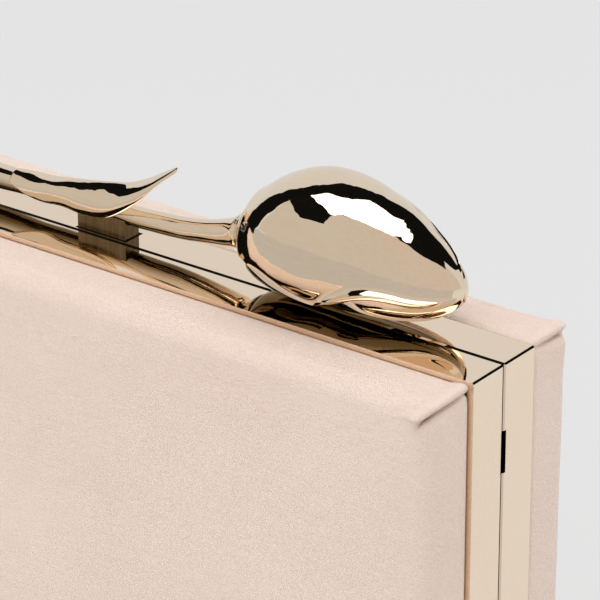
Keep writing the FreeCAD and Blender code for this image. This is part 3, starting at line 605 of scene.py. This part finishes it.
def inflate(piece, swell):
    """Lets the cloth settle under the push of its padding while the frame holds its rim."""
    held = piece.vertex_groups.new(name="held")
    rim = (FRAME_FACE + 1.0) * MM
    held.add([vertex.index for vertex in piece.data.vertices if abs(vertex.co.y) < rim], 1.0, "REPLACE")
    before = [vertex.co.copy() for vertex in piece.data.vertices]
    pick(piece)
    bpy.ops.object.modifier_add(type="CLOTH")
    drape = piece.modifiers[-1]
    drape.settings.vertex_group_mass = held.name
    drape.settings.mass = 0.001
    drape.settings.quality = 4
    drape.settings.tension_stiffness = 2.0
    drape.settings.compression_stiffness = 2.0
    drape.settings.shear_stiffness = 1.0
    drape.settings.bending_stiffness = 0.05
    drape.settings.use_pressure = True
    drape.settings.uniform_pressure_force = 1.0
    drape.settings.effector_weights.gravity = 0
    drape.collision_settings.use_collision = False
    for number in range(1, SETTLE_FRAMES + 1):
        bpy.context.scene.frame_set(number)
    bpy.ops.object.modifier_apply(modifier=drape.name)
    bpy.context.scene.frame_set(1)
    moves = [vertex.co - start for vertex, start in zip(piece.data.vertices, before)]
    largest = max(move.length for move in moves)
    for vertex, start, move in zip(piece.data.vertices, before, moves):
        vertex.co = start + move * min(1.0, swell * MM / largest)
    piece.data.update()


print("Cloth settles for", SETTLE_FRAMES, "frames")

# %% [markdown]
# At a corner there is more cloth than room. The upholsterer lays the spare cloth in one fold: the layer
# from the top runs on over the corner, and the layer from the side goes under it. What shows is a soft
# rounded edge beside a sharp crease, which runs from the frame over the front edge and ends there. Both
# are given here as moves of the points: the fold by their distance across the corner, and its end by
# their distance along it.

# %% Corner folds
FOLD_REACH = 12.8


def hump(place, middle, reach):
    """A soft hump: 1 in its middle, and 0 where its reach ends."""
    off = abs(place - middle) / reach
    return math.cos(off * math.pi / 2) ** 2 if off < 1 else 0.0


def fold_corners(piece, middle, half, height):
    """Lays the spare cloth of each corner in a fold: the top layer rises and leans over a sharp crease."""
    moves = []
    foam = piece.vertex_groups.new(name="foam")
    for vertex in piece.data.vertices:
        x, y, z = vertex.co / MM - Vector((middle.x, 0, middle.z))
        from_side = half.x - abs(x)
        from_top = half.z - abs(z)
        depth = abs(y) - FRAME_FACE
        across = from_side - from_top
        along = depth + 1.15 * min(from_side, from_top)
        apart = max(abs(across) - 6, 0.0) + max(along - FOLD_REACH - 3, 0.0)
        foam.add([vertex.index], 0.25 + 0.75 * smooth(apart / 4), "REPLACE")
        if apart > 0:
            continue
        strength = (0.45 + 0.55 * smooth(depth / 3.5)) * (1 - smooth((along - FOLD_REACH) / 1.5))
        ridge = smooth((across + 0.9) / 1.7) * (1 - smooth((across - 0.9) / 2.8))
        crease = 1.2 * hump(across, -1.05, 0.7) + 0.35 * hump(across, -1.6, 1.9)
        crease *= 0.6 + 0.5 * smooth((along - 5) / 7)
        lean = Vector((math.copysign(1, x), 0, -math.copysign(1, z))) / math.sqrt(2)
        outward = vertex.normal * height * (ridge - crease) + lean * 0.5 * height * ridge
        moves.append((vertex, outward * strength * MM))
    for vertex, move in moves:
        vertex.co += move
    return len(moves)


COVERS = (("front_satin", -1, 0.8, 0.0, 1.4), ("back_satin", 1, 1.7, 0.8, 1.0))
FOAM = 2.3 * MM

covers = {}
for name, side, swell, fuller, height in COVERS:
    cover, middle, half, deep = cover_blank(name, side, swell, fuller)
    shape_cover(cover, middle, half, deep, side)
    inflate(cover, swell)
    folded = fold_corners(cover, middle, half, height)
    modify(cover, "SOLIDIFY", thickness=FOAM, offset=-1.0, vertex_group="foam")
    pick(cover)
    bpy.ops.object.shade_smooth()
    covers[name] = cover
    print(cover.name, "has", folded, "points in its folds and", len(cover.data.polygons), "faces")

# %% [markdown]
# Satin is woven so that long threads lie on top, which gives it a soft sheen and a fine grain.
# The weave is a node group of two fine sets of threads, with thicker threads here and there.
# The colour is nearly even, a little creamier or pinker from place to place.

# %% Satin
thread_weave, inside, out = start_group(
    "thread_weave", {"Pitch": 0.0003, "Slub Length": 0.012}, ["Height", "Slub"])
tree = thread_weave
place = add(tree, "ShaderNodeTexCoord")
axes = add(tree, "ShaderNodeSeparateXYZ")
join(tree, place.outputs["Object"], axes.inputs[0])
threads = []
for first, second in (("X", "Y"), ("Z", "Y")):
    run = add(tree, "ShaderNodeMath", {"operation": "ADD"})
    join(tree, axes.outputs[first], run.inputs[0])
    join(tree, axes.outputs[second], run.inputs[1])
    count = add(tree, "ShaderNodeMath", {"operation": "DIVIDE"})
    join(tree, run.outputs[0], count.inputs[0])
    join(tree, inside.outputs["Pitch"], count.inputs[1])
    turn_by = add(tree, "ShaderNodeMath", {"operation": "MULTIPLY"})
    turn_by.inputs[1].default_value = 2 * math.pi
    join(tree, count.outputs[0], turn_by.inputs[0])
    thread = add(tree, "ShaderNodeMath", {"operation": "SINE"})
    join(tree, turn_by.outputs[0], thread.inputs[0])
    threads.append(thread)
woven = add(tree, "ShaderNodeMath", {"operation": "MULTIPLY"})
join(tree, threads[0].outputs[0], woven.inputs[0])
join(tree, threads[1].outputs[0], woven.inputs[1])
slub_scale = add(tree, "ShaderNodeMath", {"operation": "DIVIDE"})
slub_scale.inputs[0].default_value = 1.0
join(tree, inside.outputs["Slub Length"], slub_scale.inputs[1])
stretched = add(tree, "ShaderNodeVectorMath", {"operation": "MULTIPLY"})
stretched.inputs[1].default_value = (1, 22, 22)
join(tree, place.outputs["Object"], stretched.inputs[0])
slub = add(tree, "ShaderNodeTexNoise", Detail=2.0, Roughness=0.6)
join(tree, stretched.outputs[0], slub.inputs["Vector"])
join(tree, slub_scale.outputs[0], slub.inputs["Scale"])
raised = add(tree, "ShaderNodeMath", {"operation": "MULTIPLY_ADD"})
raised.inputs[1].default_value = 0.35
join(tree, woven.outputs[0], raised.inputs[0])
join(tree, slub.outputs[0], raised.inputs[2])
join(tree, raised.outputs[0], out.inputs["Height"])
join(tree, slub.outputs[0], out.inputs["Slub"])


def cloth(name, cream, pink, pitch, slub_length, depth, sheen, sheen_tint, rough):
    """A woven finish: its tone drifts between two colours and its threads stand out by a depth."""
    material, tree, shader = start_material(
        name, Roughness=rough, Specular_IOR_Level=0.3, Sheen_Weight=sheen, Sheen_Roughness=0.4,
        Sheen_Tint=(*sheen_tint, 1))
    weave = use_group(tree, thread_weave, Pitch=pitch, Slub_Length=slub_length)
    place = add(tree, "ShaderNodeTexCoord")
    drift = add(tree, "ShaderNodeTexNoise", Scale=22.0, Detail=3.0, Roughness=0.6)
    join(tree, place.outputs["Object"], drift.inputs["Vector"])
    grain = add(tree, "ShaderNodeTexNoise", Scale=2600.0, Detail=1.0)
    join(tree, place.outputs["Object"], grain.inputs["Vector"])
    uneven = add(tree, "ShaderNodeMath", {"operation": "MULTIPLY_ADD"})
    uneven.inputs[1].default_value = 1.3
    join(tree, grain.outputs[0], uneven.inputs[0])
    join(tree, drift.outputs[0], uneven.inputs[2])
    lines = add(tree, "ShaderNodeMath", {"operation": "MULTIPLY_ADD"})
    lines.inputs[1].default_value = 0.35
    join(tree, weave.outputs["Slub"], lines.inputs[0])
    join(tree, uneven.outputs[0], lines.inputs[2])
    share = add(tree, "ShaderNodeMapRange", From_Min=0.95, From_Max=1.75)
    join(tree, lines.outputs[0], share.inputs["Value"])
    colour = add(tree, "ShaderNodeMix", {"data_type": "RGBA"})
    colour.inputs[6].default_value = (*cream, 1)
    colour.inputs[7].default_value = (*pink, 1)
    join(tree, share.outputs["Result"], colour.inputs["Factor"])
    join(tree, colour.outputs[2], shader.inputs["Base Color"])
    bump = add(tree, "ShaderNodeBump", Strength=1.0, Distance=depth)
    join(tree, weave.outputs["Height"], bump.inputs["Height"])
    join(tree, bump.outputs["Normal"], shader.inputs["Normal"])
    return material


blush_satin = cloth("blush_satin", (0.84, 0.695, 0.60), (0.755, 0.58, 0.49), 0.00032, 0.012, 0.00009,
                    0.25, (1.0, 0.92, 0.86), 0.55)
for prefix in ("front", "back"):
    piece = covers[prefix + "_satin"]
    dress(piece, blush_satin, prefix + "_half", "blush_satin", prefix + "_satin", prefix + "_padding")
    print("Satin on", piece.name)

# %% [markdown]
# The bud. Its petals were cast around a mould, so each one is a grid wrapped round an egg shape: one
# direction of the grid runs along the bud and the other round it. The sizes follow the CAD solids closely.
# Each petal slips under its neighbour on one side and flares out over the next one on the other.

# %% The egg that the petals lie on
BUD_START = 29.0
BUD_LENGTH = 43.6
BUD_RADIUS = 11.3
BUD_RISE = 11.95
BUD_LEAN = 4.5
RAIL_TOP = 108.0
LAYER = 1.0
FLARE = 1.35
PLACE_SHARES = (0.0, 0.14, 0.25, 0.39, 0.53, 0.67, 0.8, 0.91, 1.0)
RISE_SHARES = (0.68, 0.81, 0.91, 1.0, 0.995, 0.91, 0.79, 0.69, 0.62)
LEAN_SHARES = (0.66, 0.52, 0.45, 0.4, 0.44, 0.54, 0.68, 0.86, 1.0)


def curve_through(places, values):
    """A smooth function through pairs of places and values."""
    count = len(places)
    slopes = []
    for index in range(count):
        low = max(index - 1, 0)
        high = min(index + 1, count - 1)
        slopes.append((values[high] - values[low]) / (places[high] - places[low]))

    def value_at(place):
        index = 0
        while index < count - 2 and place > places[index + 1]:
            index += 1
        span = places[index + 1] - places[index]
        share = (place - places[index]) / span
        rest = 1 - share
        start = values[index] * (1 + 2 * share) * rest ** 2 + slopes[index] * span * share * rest ** 2
        end = values[index + 1] * (1 + 2 * rest) * share ** 2 - slopes[index + 1] * span * rest * share ** 2
        return start + end

    return value_at


bud_rise = curve_through(PLACE_SHARES, RISE_SHARES)
bud_lean = curve_through(PLACE_SHARES, LEAN_SHARES)


def bud_radius(share):
    full = 0.7 if share < 0.42 else 0.5
    return BUD_RADIUS * math.sin(math.pi * share ** (math.log(0.5) / math.log(0.42))) ** full


def on_bud(share, turn_deg, lift):
    """A point over the bud: turned from the top towards the front, and lifted off its surface."""
    angle = math.radians(turn_deg)
    reach = bud_radius(share) + lift
    return Vector((BUD_START + share * BUD_LENGTH,
                   bud_lean(share) * BUD_LEAN - reach * math.sin(angle),
                   RAIL_TOP + bud_rise(share) * BUD_RISE + reach * math.cos(angle))) * MM


print("Bud from", on_bud(0.13, 0, 0), "to", on_bud(0.975, 0, 0))

# %% Petals
LIP_PLACES = (0.13, 0.25, 0.31, 0.37, 0.43, 0.48, 0.53, 0.6, 0.67, 0.75, 0.82, 0.91, 0.975)
LIP_DEG = (106, 114, 121, 129, 137, 138, 130, 118, 107, 99, 97, 100, 98)
INNER_PLACES = (0.46, 0.53, 0.62, 0.68, 0.74, 0.8, 0.86, 0.92, 0.975)
INNER_DEG = (140, 131, 127, 133, 138, 142, 147, 154, 160)
BACK_PLACES = (0.13, 0.25, 0.39, 0.53, 0.67, 0.8, 0.9, 0.95, 0.985)
BACK_DEG = (-62, -60, -57, -54, -50, -44, -38, -28, -16)
UNDERSIDE_DEG = 225
OVERLAP_DEG = 12
PETAL_START = 0.115
PETAL_END = 0.99999

lip = curve_through(LIP_PLACES, LIP_DEG)
inner_edge = curve_through(INNER_PLACES, INNER_DEG)
back_edge = curve_through(BACK_PLACES, BACK_DEG)


def slim(share):
    """Thins what lies on the bud where the bud narrows."""
    return min(1.0, bud_radius(share) / (BUD_RADIUS / 2))


def cover_edge(share):
    return lip(share) if share < INNER_PLACES[1] else max(lip(share), inner_edge(share))


def flare(share, turn, edge):
    """How far a free edge rolls outwards. Near the tip the roll takes up more of the turn."""
    width = 6.0 * max(1.0, 6.5 / max(bud_radius(share), 3.0))
    return FLARE * max(0.0, 1 - abs(turn - edge) / width) ** 2.5


def tuck_in(past_edge, layers):
    """How deep a petal lies under its neighbours, by the turn that it is past their edge."""
    return -LAYER * layers * (1 - smooth(past_edge / 30))


def front_lift(share, turn):
    roll = 0.5 + 0.5 * smooth((share - 0.42) / 0.18)
    roll = roll * smooth((share - PETAL_START) / 0.2) * smooth((1 - share) / 0.03)
    base = 0.5 * max(0.0, 1 - (share - PETAL_START) / 0.05) ** 2
    return flare(share, turn, lip(share)) * roll + 0.3 * flare(share, turn, back_edge(share)) + base


def inner_lift(share, turn):
    shows = smooth((inner_edge(share) - lip(share)) / OVERLAP_DEG)
    return tuck_in(turn - lip(share), 1) + 0.3 * shows * flare(share, turn, inner_edge(share))


def lower_lift(share, turn):
    return tuck_in(turn - cover_edge(share), 2) + tuck_in(UNDERSIDE_DEG - turn, 1)


def back_lift(share, turn):
    edge = 360 + back_edge(share)
    return 0.3 * flare(share, turn, UNDERSIDE_DEG - OVERLAP_DEG) + tuck_in(edge - turn, 1)


PETALS = {
    "front_petal": (PETAL_START, back_edge, lip, front_lift),
    "inner_petal": (INNER_PLACES[0], lambda s: lip(s) - OVERLAP_DEG, inner_edge, inner_lift),
    "lower_petal": (PETAL_START, lambda s: cover_edge(s) - OVERLAP_DEG,
                    lambda s: UNDERSIDE_DEG, lower_lift),
    "back_petal": (PETAL_START, lambda s: UNDERSIDE_DEG - OVERLAP_DEG,
                   lambda s: 360 + back_edge(s) + OVERLAP_DEG, back_lift),
}


def wrap_petal(name, start, first, last, lift):
    """A grid wrapped over the bud, thickened inwards and smoothed."""
    bpy.ops.object.select_all(action="DESELECT")
    bpy.ops.mesh.primitive_grid_add(x_subdivisions=36, y_subdivisions=36, size=1)
    piece = new_piece(name)
    low_turn = math.acos(1 - 2 * start)
    high_turn = math.acos(1 - 2 * PETAL_END)
    group = piece.vertex_groups.new(name="slim")
    for vertex in piece.data.vertices:
        share = (1 - math.cos(low_turn + (high_turn - low_turn) * (vertex.co.x + 0.5))) / 2
        wide = last(share) - first(share)
        turn = first(share) + wide * (1 - math.cos(math.pi * (vertex.co.y + 0.5))) / 2
        vertex.co = on_bud(share, turn, lift(share, turn) * slim(share))
        edge = min(turn - first(share), last(share) - turn)
        group.add([vertex.index], slim(share) * (1 - 0.35 * smooth(edge / 12)), "REPLACE")
    piece.data.update()
    centre = on_bud(0.5, 0, -BUD_RADIUS)
    middle = piece.data.polygons[len(piece.data.polygons) // 2]
    if middle.normal.dot(middle.center - centre) < 0:
        open_with(piece, "FACE", lambda c: True)
        bpy.ops.mesh.flip_normals()
        close()
    modify(piece, "SOLIDIFY", thickness=1.35 * MM, offset=-1.0, vertex_group="slim")
    modify(piece, "SUBSURF", levels=2, render_levels=2)
    return piece


dents = bpy.data.textures.new("cast_dents", "CLOUDS")
dents.noise_scale = 0.009
dents.noise_depth = 0
for name, (start, first, last, lift) in PETALS.items():
    petal = wrap_petal(name + "_cast", start, first, last, lift)
    modify(petal, "DISPLACE", texture=dents, texture_coords="LOCAL", strength=0.2 * MM, mid_level=0.5)
    pick(petal)
    bpy.ops.object.shade_smooth()
    dress(petal, under_gold_shaded_below if name == "lower_petal" else cast_gold, "clasp", "pale_gold", name)
    print(petal.name, len(petal.data.polygons), "faces")

# %% [markdown]
# The stem is drawn the way a jeweller draws wire: a circle is extruded again and again along its way, and
# made wider or narrower at each step. The last steps swell into the cup that holds the petals.

# %% Stem and cup
STEM_Y = 2.8
STEM_PLACES = (-58.0, -56.8, -53.9, -34.8, -14.5, 0.0, 9.57, 17.4, 25.5, 28.0, 30.0)
STEM_RISE = (4.18, 4.18, 4.18, 4.18, 4.18, 4.3, 4.42, 4.9, 6.39, 7.2, 8.3)
STEM_RADIUS = (1.46, 1.88, 2.07, 2.07, 1.97, 1.88, 1.95, 2.12, 2.4, 2.65, 3.6)
CUP_SHARES = (0.005, 0.015, 0.03, 0.05, 0.075, 0.095, 0.104, 0.12, 0.16, 0.22, 0.32, 0.42, 0.52, 0.62, 0.72,
              0.82, 0.9, 0.95)
stem_rise = curve_through(STEM_PLACES, STEM_RISE)
stem_radius = curve_through(STEM_PLACES, STEM_RADIUS)


def extrude_along(name, stations, sides):
    """Extrudes a closed circle through stations of place and radius, all in millimetres."""
    (x, y, z), radius = stations[0]
    bpy.ops.object.select_all(action="DESELECT")
    bpy.ops.mesh.primitive_circle_add(vertices=sides, radius=radius * MM, fill_type="NGON",
                                      location=(x * MM, y * MM, z * MM), rotation=(0, math.pi / 2, 0))
    piece = new_piece(name)
    open_with(piece, "FACE", lambda c: True)
    for place, wide in stations[1:]:
        step = [(new - old) * MM for new, old in zip(place, (x, y, z))]
        bpy.ops.mesh.extrude_region_move(TRANSFORM_OT_translate={"value": step})
        scale = wide / radius
        bpy.ops.transform.resize(value=(1, scale, scale), center_override=[c * MM for c in place])
        (x, y, z), radius = place, wide
    bpy.ops.mesh.select_all(action="SELECT")
    bpy.ops.mesh.normals_make_consistent(inside=False)
    close()
    return piece


stem_stations = []
for step in range(51):
    x = -58.0 + 88.0 * step / 50
    stem_stations.append(((x, STEM_Y, RAIL_TOP + stem_rise(x)), stem_radius(x)))
stem = extrude_along("stem_cast", stem_stations, 20)
modify(stem, "SUBSURF", levels=2, render_levels=2)
modify(stem, "DISPLACE", texture=dents, texture_coords="LOCAL", strength=0.8 * MM, mid_level=0.5)

cup_stations = [((BUD_START - 1.2, STEM_Y, RAIL_TOP + stem_rise(BUD_START - 1.2)), 2.3)]
for share in CUP_SHARES:
    point = on_bud(share, 0, -bud_radius(share)) / MM
    deep = 0.15 if share < 0.1 else 3 * LAYER
    narrowest = 2.85 if share < 0.1 else 0.5
    cup_stations.append((tuple(point), max(bud_radius(share) - deep * slim(share), narrowest)))
cup = extrude_along("bud_heart", cup_stations, 32)
modify(cup, "SUBSURF", levels=2, render_levels=2)
for piece, name in ((stem, "flower_stem"), (cup, "bud_core")):
    pick(piece)
    bpy.ops.object.shade_smooth()
    dress(piece, stem_gold_shaded_below, "clasp", "pale_gold", name)
    print(piece.name, len(piece.data.polygons), "faces")

# %% [markdown]
# The leaf clasps the stem like a sheath and opens into a pointed blade. It is one grid. Each row across the
# blade is a shallow arc through three points, the upper edge, the middle and the lower edge, and each
# of the three follows its own smooth line from the root to the tip.

# %% Leaf
LEAF_ROOT = -20.0
LEAF_LENGTH = 37.0
LEAF_HEIGHT = 16.6
LEAF_STAND_OFF = 0.95
HUG_SHARES = (0.0, 0.1, 0.2)
HUG_DEG = ((15, 75), (0, 105), (-12, 122))
BLADE_SHARES = (0.32, 0.46, 0.59, 0.7, 0.81, 0.92, 1.0)
UPPER_SHARES = ((0.157, 0.482), (0.151, 0.536), (0.151, 0.596), (0.145, 0.657), (0.133, 0.765),
                (0.102, 0.904), (0.066, 1.0))
MIDDLE_SHARES = ((-0.012, 0.373), (-0.036, 0.386), (-0.048, 0.416), (-0.048, 0.506), (-0.018, 0.663),
                 (0.018, 0.855), (0.045, 0.985))
LOWER_SHARES = ((0.006, 0.193), (-0.018, 0.187), (-0.018, 0.217), (-0.024, 0.349), (-0.024, 0.554),
                (-0.012, 0.801), (0.03, 0.965))


def leaf_line(hug_turn, blade_points):
    """One of the leaf's three lines, from where it hugs the stem to the tip."""
    depths = []
    heights = []
    for share, turns in zip(HUG_SHARES, HUG_DEG):
        x = LEAF_ROOT + share * LEAF_LENGTH
        angle = math.radians(turns[0] + (turns[1] - turns[0]) * hug_turn)
        reach = stem_radius(x) + LEAF_STAND_OFF
        depths.append(STEM_Y - reach * math.sin(angle))
        heights.append(RAIL_TOP + stem_rise(x) + reach * math.cos(angle))
    for y, z in blade_points:
        depths.append(y * LEAF_HEIGHT)
        heights.append(RAIL_TOP + z * LEAF_HEIGHT)
    shares = HUG_SHARES + BLADE_SHARES
    depth_at = curve_through(shares, depths)
    height_at = curve_through(shares, heights)
    return lambda share: Vector((LEAF_ROOT + share * LEAF_LENGTH, depth_at(share), height_at(share)))


upper_line = leaf_line(0.0, UPPER_SHARES)
middle_line = leaf_line(0.5, MIDDLE_SHARES)
lower_line = leaf_line(1.0, LOWER_SHARES)
bpy.ops.object.select_all(action="DESELECT")
bpy.ops.mesh.primitive_grid_add(x_subdivisions=34, y_subdivisions=12, size=1)
leaf = new_piece("leaf_cast")
thin = leaf.vertex_groups.new(name="thin")
for vertex in leaf.data.vertices:
    share = vertex.co.x + 0.5
    across = vertex.co.y + 0.5
    upper, middle, lower = upper_line(share), middle_line(share), lower_line(share)
    point = upper * (1 - across) * (1 - 2 * across)
    point += middle * 4 * across * (1 - across)
    point += lower * across * (2 * across - 1)
    vertex.co = point * MM
    thin.add([vertex.index], min(1.0, 0.25 + (upper - lower).length / 4), "REPLACE")
leaf.data.update()
if leaf.data.polygons[len(leaf.data.polygons) // 2].normal.y > 0:
    open_with(leaf, "FACE", lambda c: True)
    bpy.ops.mesh.flip_normals()
    close()
modify(leaf, "SOLIDIFY", thickness=0.7 * MM, offset=-1.0, vertex_group="thin")
modify(leaf, "SUBSURF", levels=2, render_levels=2)
modify(leaf, "DISPLACE", texture=dents, texture_coords="LOCAL", strength=0.2 * MM, mid_level=0.5)
pick(leaf)
bpy.ops.object.shade_smooth()
dress(leaf, cast_gold, "clasp", "pale_gold", "stem_leaf")
print(leaf.name, len(leaf.data.polygons), "faces")

# %% [markdown]
# Behind the post sits the latch spring, a strip of steel bowed between the bracket and the post. When the
# flower is tilted, the post presses the bow flatter. A strip is subdivided along its length, its points
# are moved to an arc, and it gets its thickness.

# %% The latch spring
SPRING_THICK = 0.3 * MM
SPRING_FLATTENED = 0.75

low, high = [Vector(corner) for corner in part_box("latch_spring")]
bpy.ops.object.select_all(action="DESELECT")
bpy.ops.mesh.primitive_plane_add(size=1, location=(low + high) / 2, rotation=(math.pi / 2, 0, 0))
bpy.context.object.scale = (high.x - low.x, high.z - low.z, 1)
spring = new_piece("spring_strip")
open_with(spring, "EDGE", lambda a, b: abs(a.x - b.x) > MM)
bpy.ops.mesh.subdivide(number_cuts=31)
close()
for vertex in spring.data.vertices:
    share = vertex.co.x / (high.x - low.x) * 2
    vertex.co.y = low.y + (high.y - low.y - SPRING_THICK) * share ** 2
spring.data.update()
modify(spring, "SOLIDIFY", thickness=SPRING_THICK, offset=-1.0)
pick(spring)
bpy.ops.object.shade_smooth_by_angle(angle=math.radians(30))
dress(spring, spring_steel, "back_half", "spring_steel", "latch_spring")
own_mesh(spring)
print(spring.name, "bows by", round((high.y - low.y) / MM, 2), "mm and keeps", SPRING_FLATTENED, "of it")

# %% [markdown]
# Inside, each half is lined with a thin soft suede, pressed into the shell as one sheet, so its corners are
# round and its bottom swells a little over the glue. It is an open box with round edges, made as the
# covers were, but thin.

# %% Linings
LINING_ROUND = 4.0 * MM


def lining(name, side):
    """A thin tray of cloth that lies in a shell."""
    low, high = [Vector(corner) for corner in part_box(name)]
    open_y = high.y if side < 0 else low.y
    deep_y = low.y if side < 0 else high.y
    bpy.ops.object.select_all(action="DESELECT")
    bpy.ops.mesh.primitive_cube_add(size=1, location=(low + high) / 2, scale=high - low)
    piece = new_piece(name + "_cloth")
    open_with(piece, "FACE", lambda c: abs(c.y - open_y) < 0.1 * MM)
    bpy.ops.mesh.delete(type="FACE")
    close()
    open_with(piece, "EDGE", lambda a, b: abs(a.y - deep_y) + abs(b.y - deep_y) < 0.1 * MM)
    bpy.ops.mesh.bevel(offset=LINING_ROUND, segments=5, profile=0.5, affect="EDGES")
    close()
    for axis, cuts in ((0, 30), (2, 20), (1, 2)):
        open_with(piece, "EDGE", along_axis(axis))
        bpy.ops.mesh.subdivide(number_cuts=cuts)
        close()
    middle = (low + high) / 2
    for vertex in piece.data.vertices:
        x = (vertex.co.x - middle.x) / (high.x - low.x) * 2
        z = (vertex.co.z - middle.z) / (high.z - low.z) * 2
        bottom = smooth(1 - abs(vertex.co.y - deep_y) / (2 * MM))
        ripple = math.sin(7 * x + 3 * z) * math.cos(5 * z - 2 * x)
        lift = (0.5 * (1 - x ** 4) * (1 - z ** 4) + 0.15 * ripple) * bottom * MM
        vertex.co.y -= side * max(lift, 0.0)
    area = sum(face.area for face in piece.data.polygons)
    modify(piece, "SOLIDIFY", thickness=0.6 * MM, offset=-1.0)
    pick(piece)
    bpy.ops.object.shade_smooth()
    wide, deep, high = high - low
    return piece, area, (wide + 2 * deep, high + 2 * deep)


suede = cloth("lining_suede", (0.62, 0.50, 0.42), (0.54, 0.42, 0.34), 0.0004, 0.003, 0.00005,
              0.5, (1.0, 0.9, 0.82), 0.95)
for prefix, side in (("front", -1), ("back", 1)):
    piece, area, flat = lining(prefix + "_lining", side)
    dress(piece, suede, prefix + "_half", "lining", prefix + "_lining")
    print(piece.name, "cut from", round(area * 10000), "square centimetres")

# %% Finish
bpy.context.scene.view_settings.view_transform = "Standard"
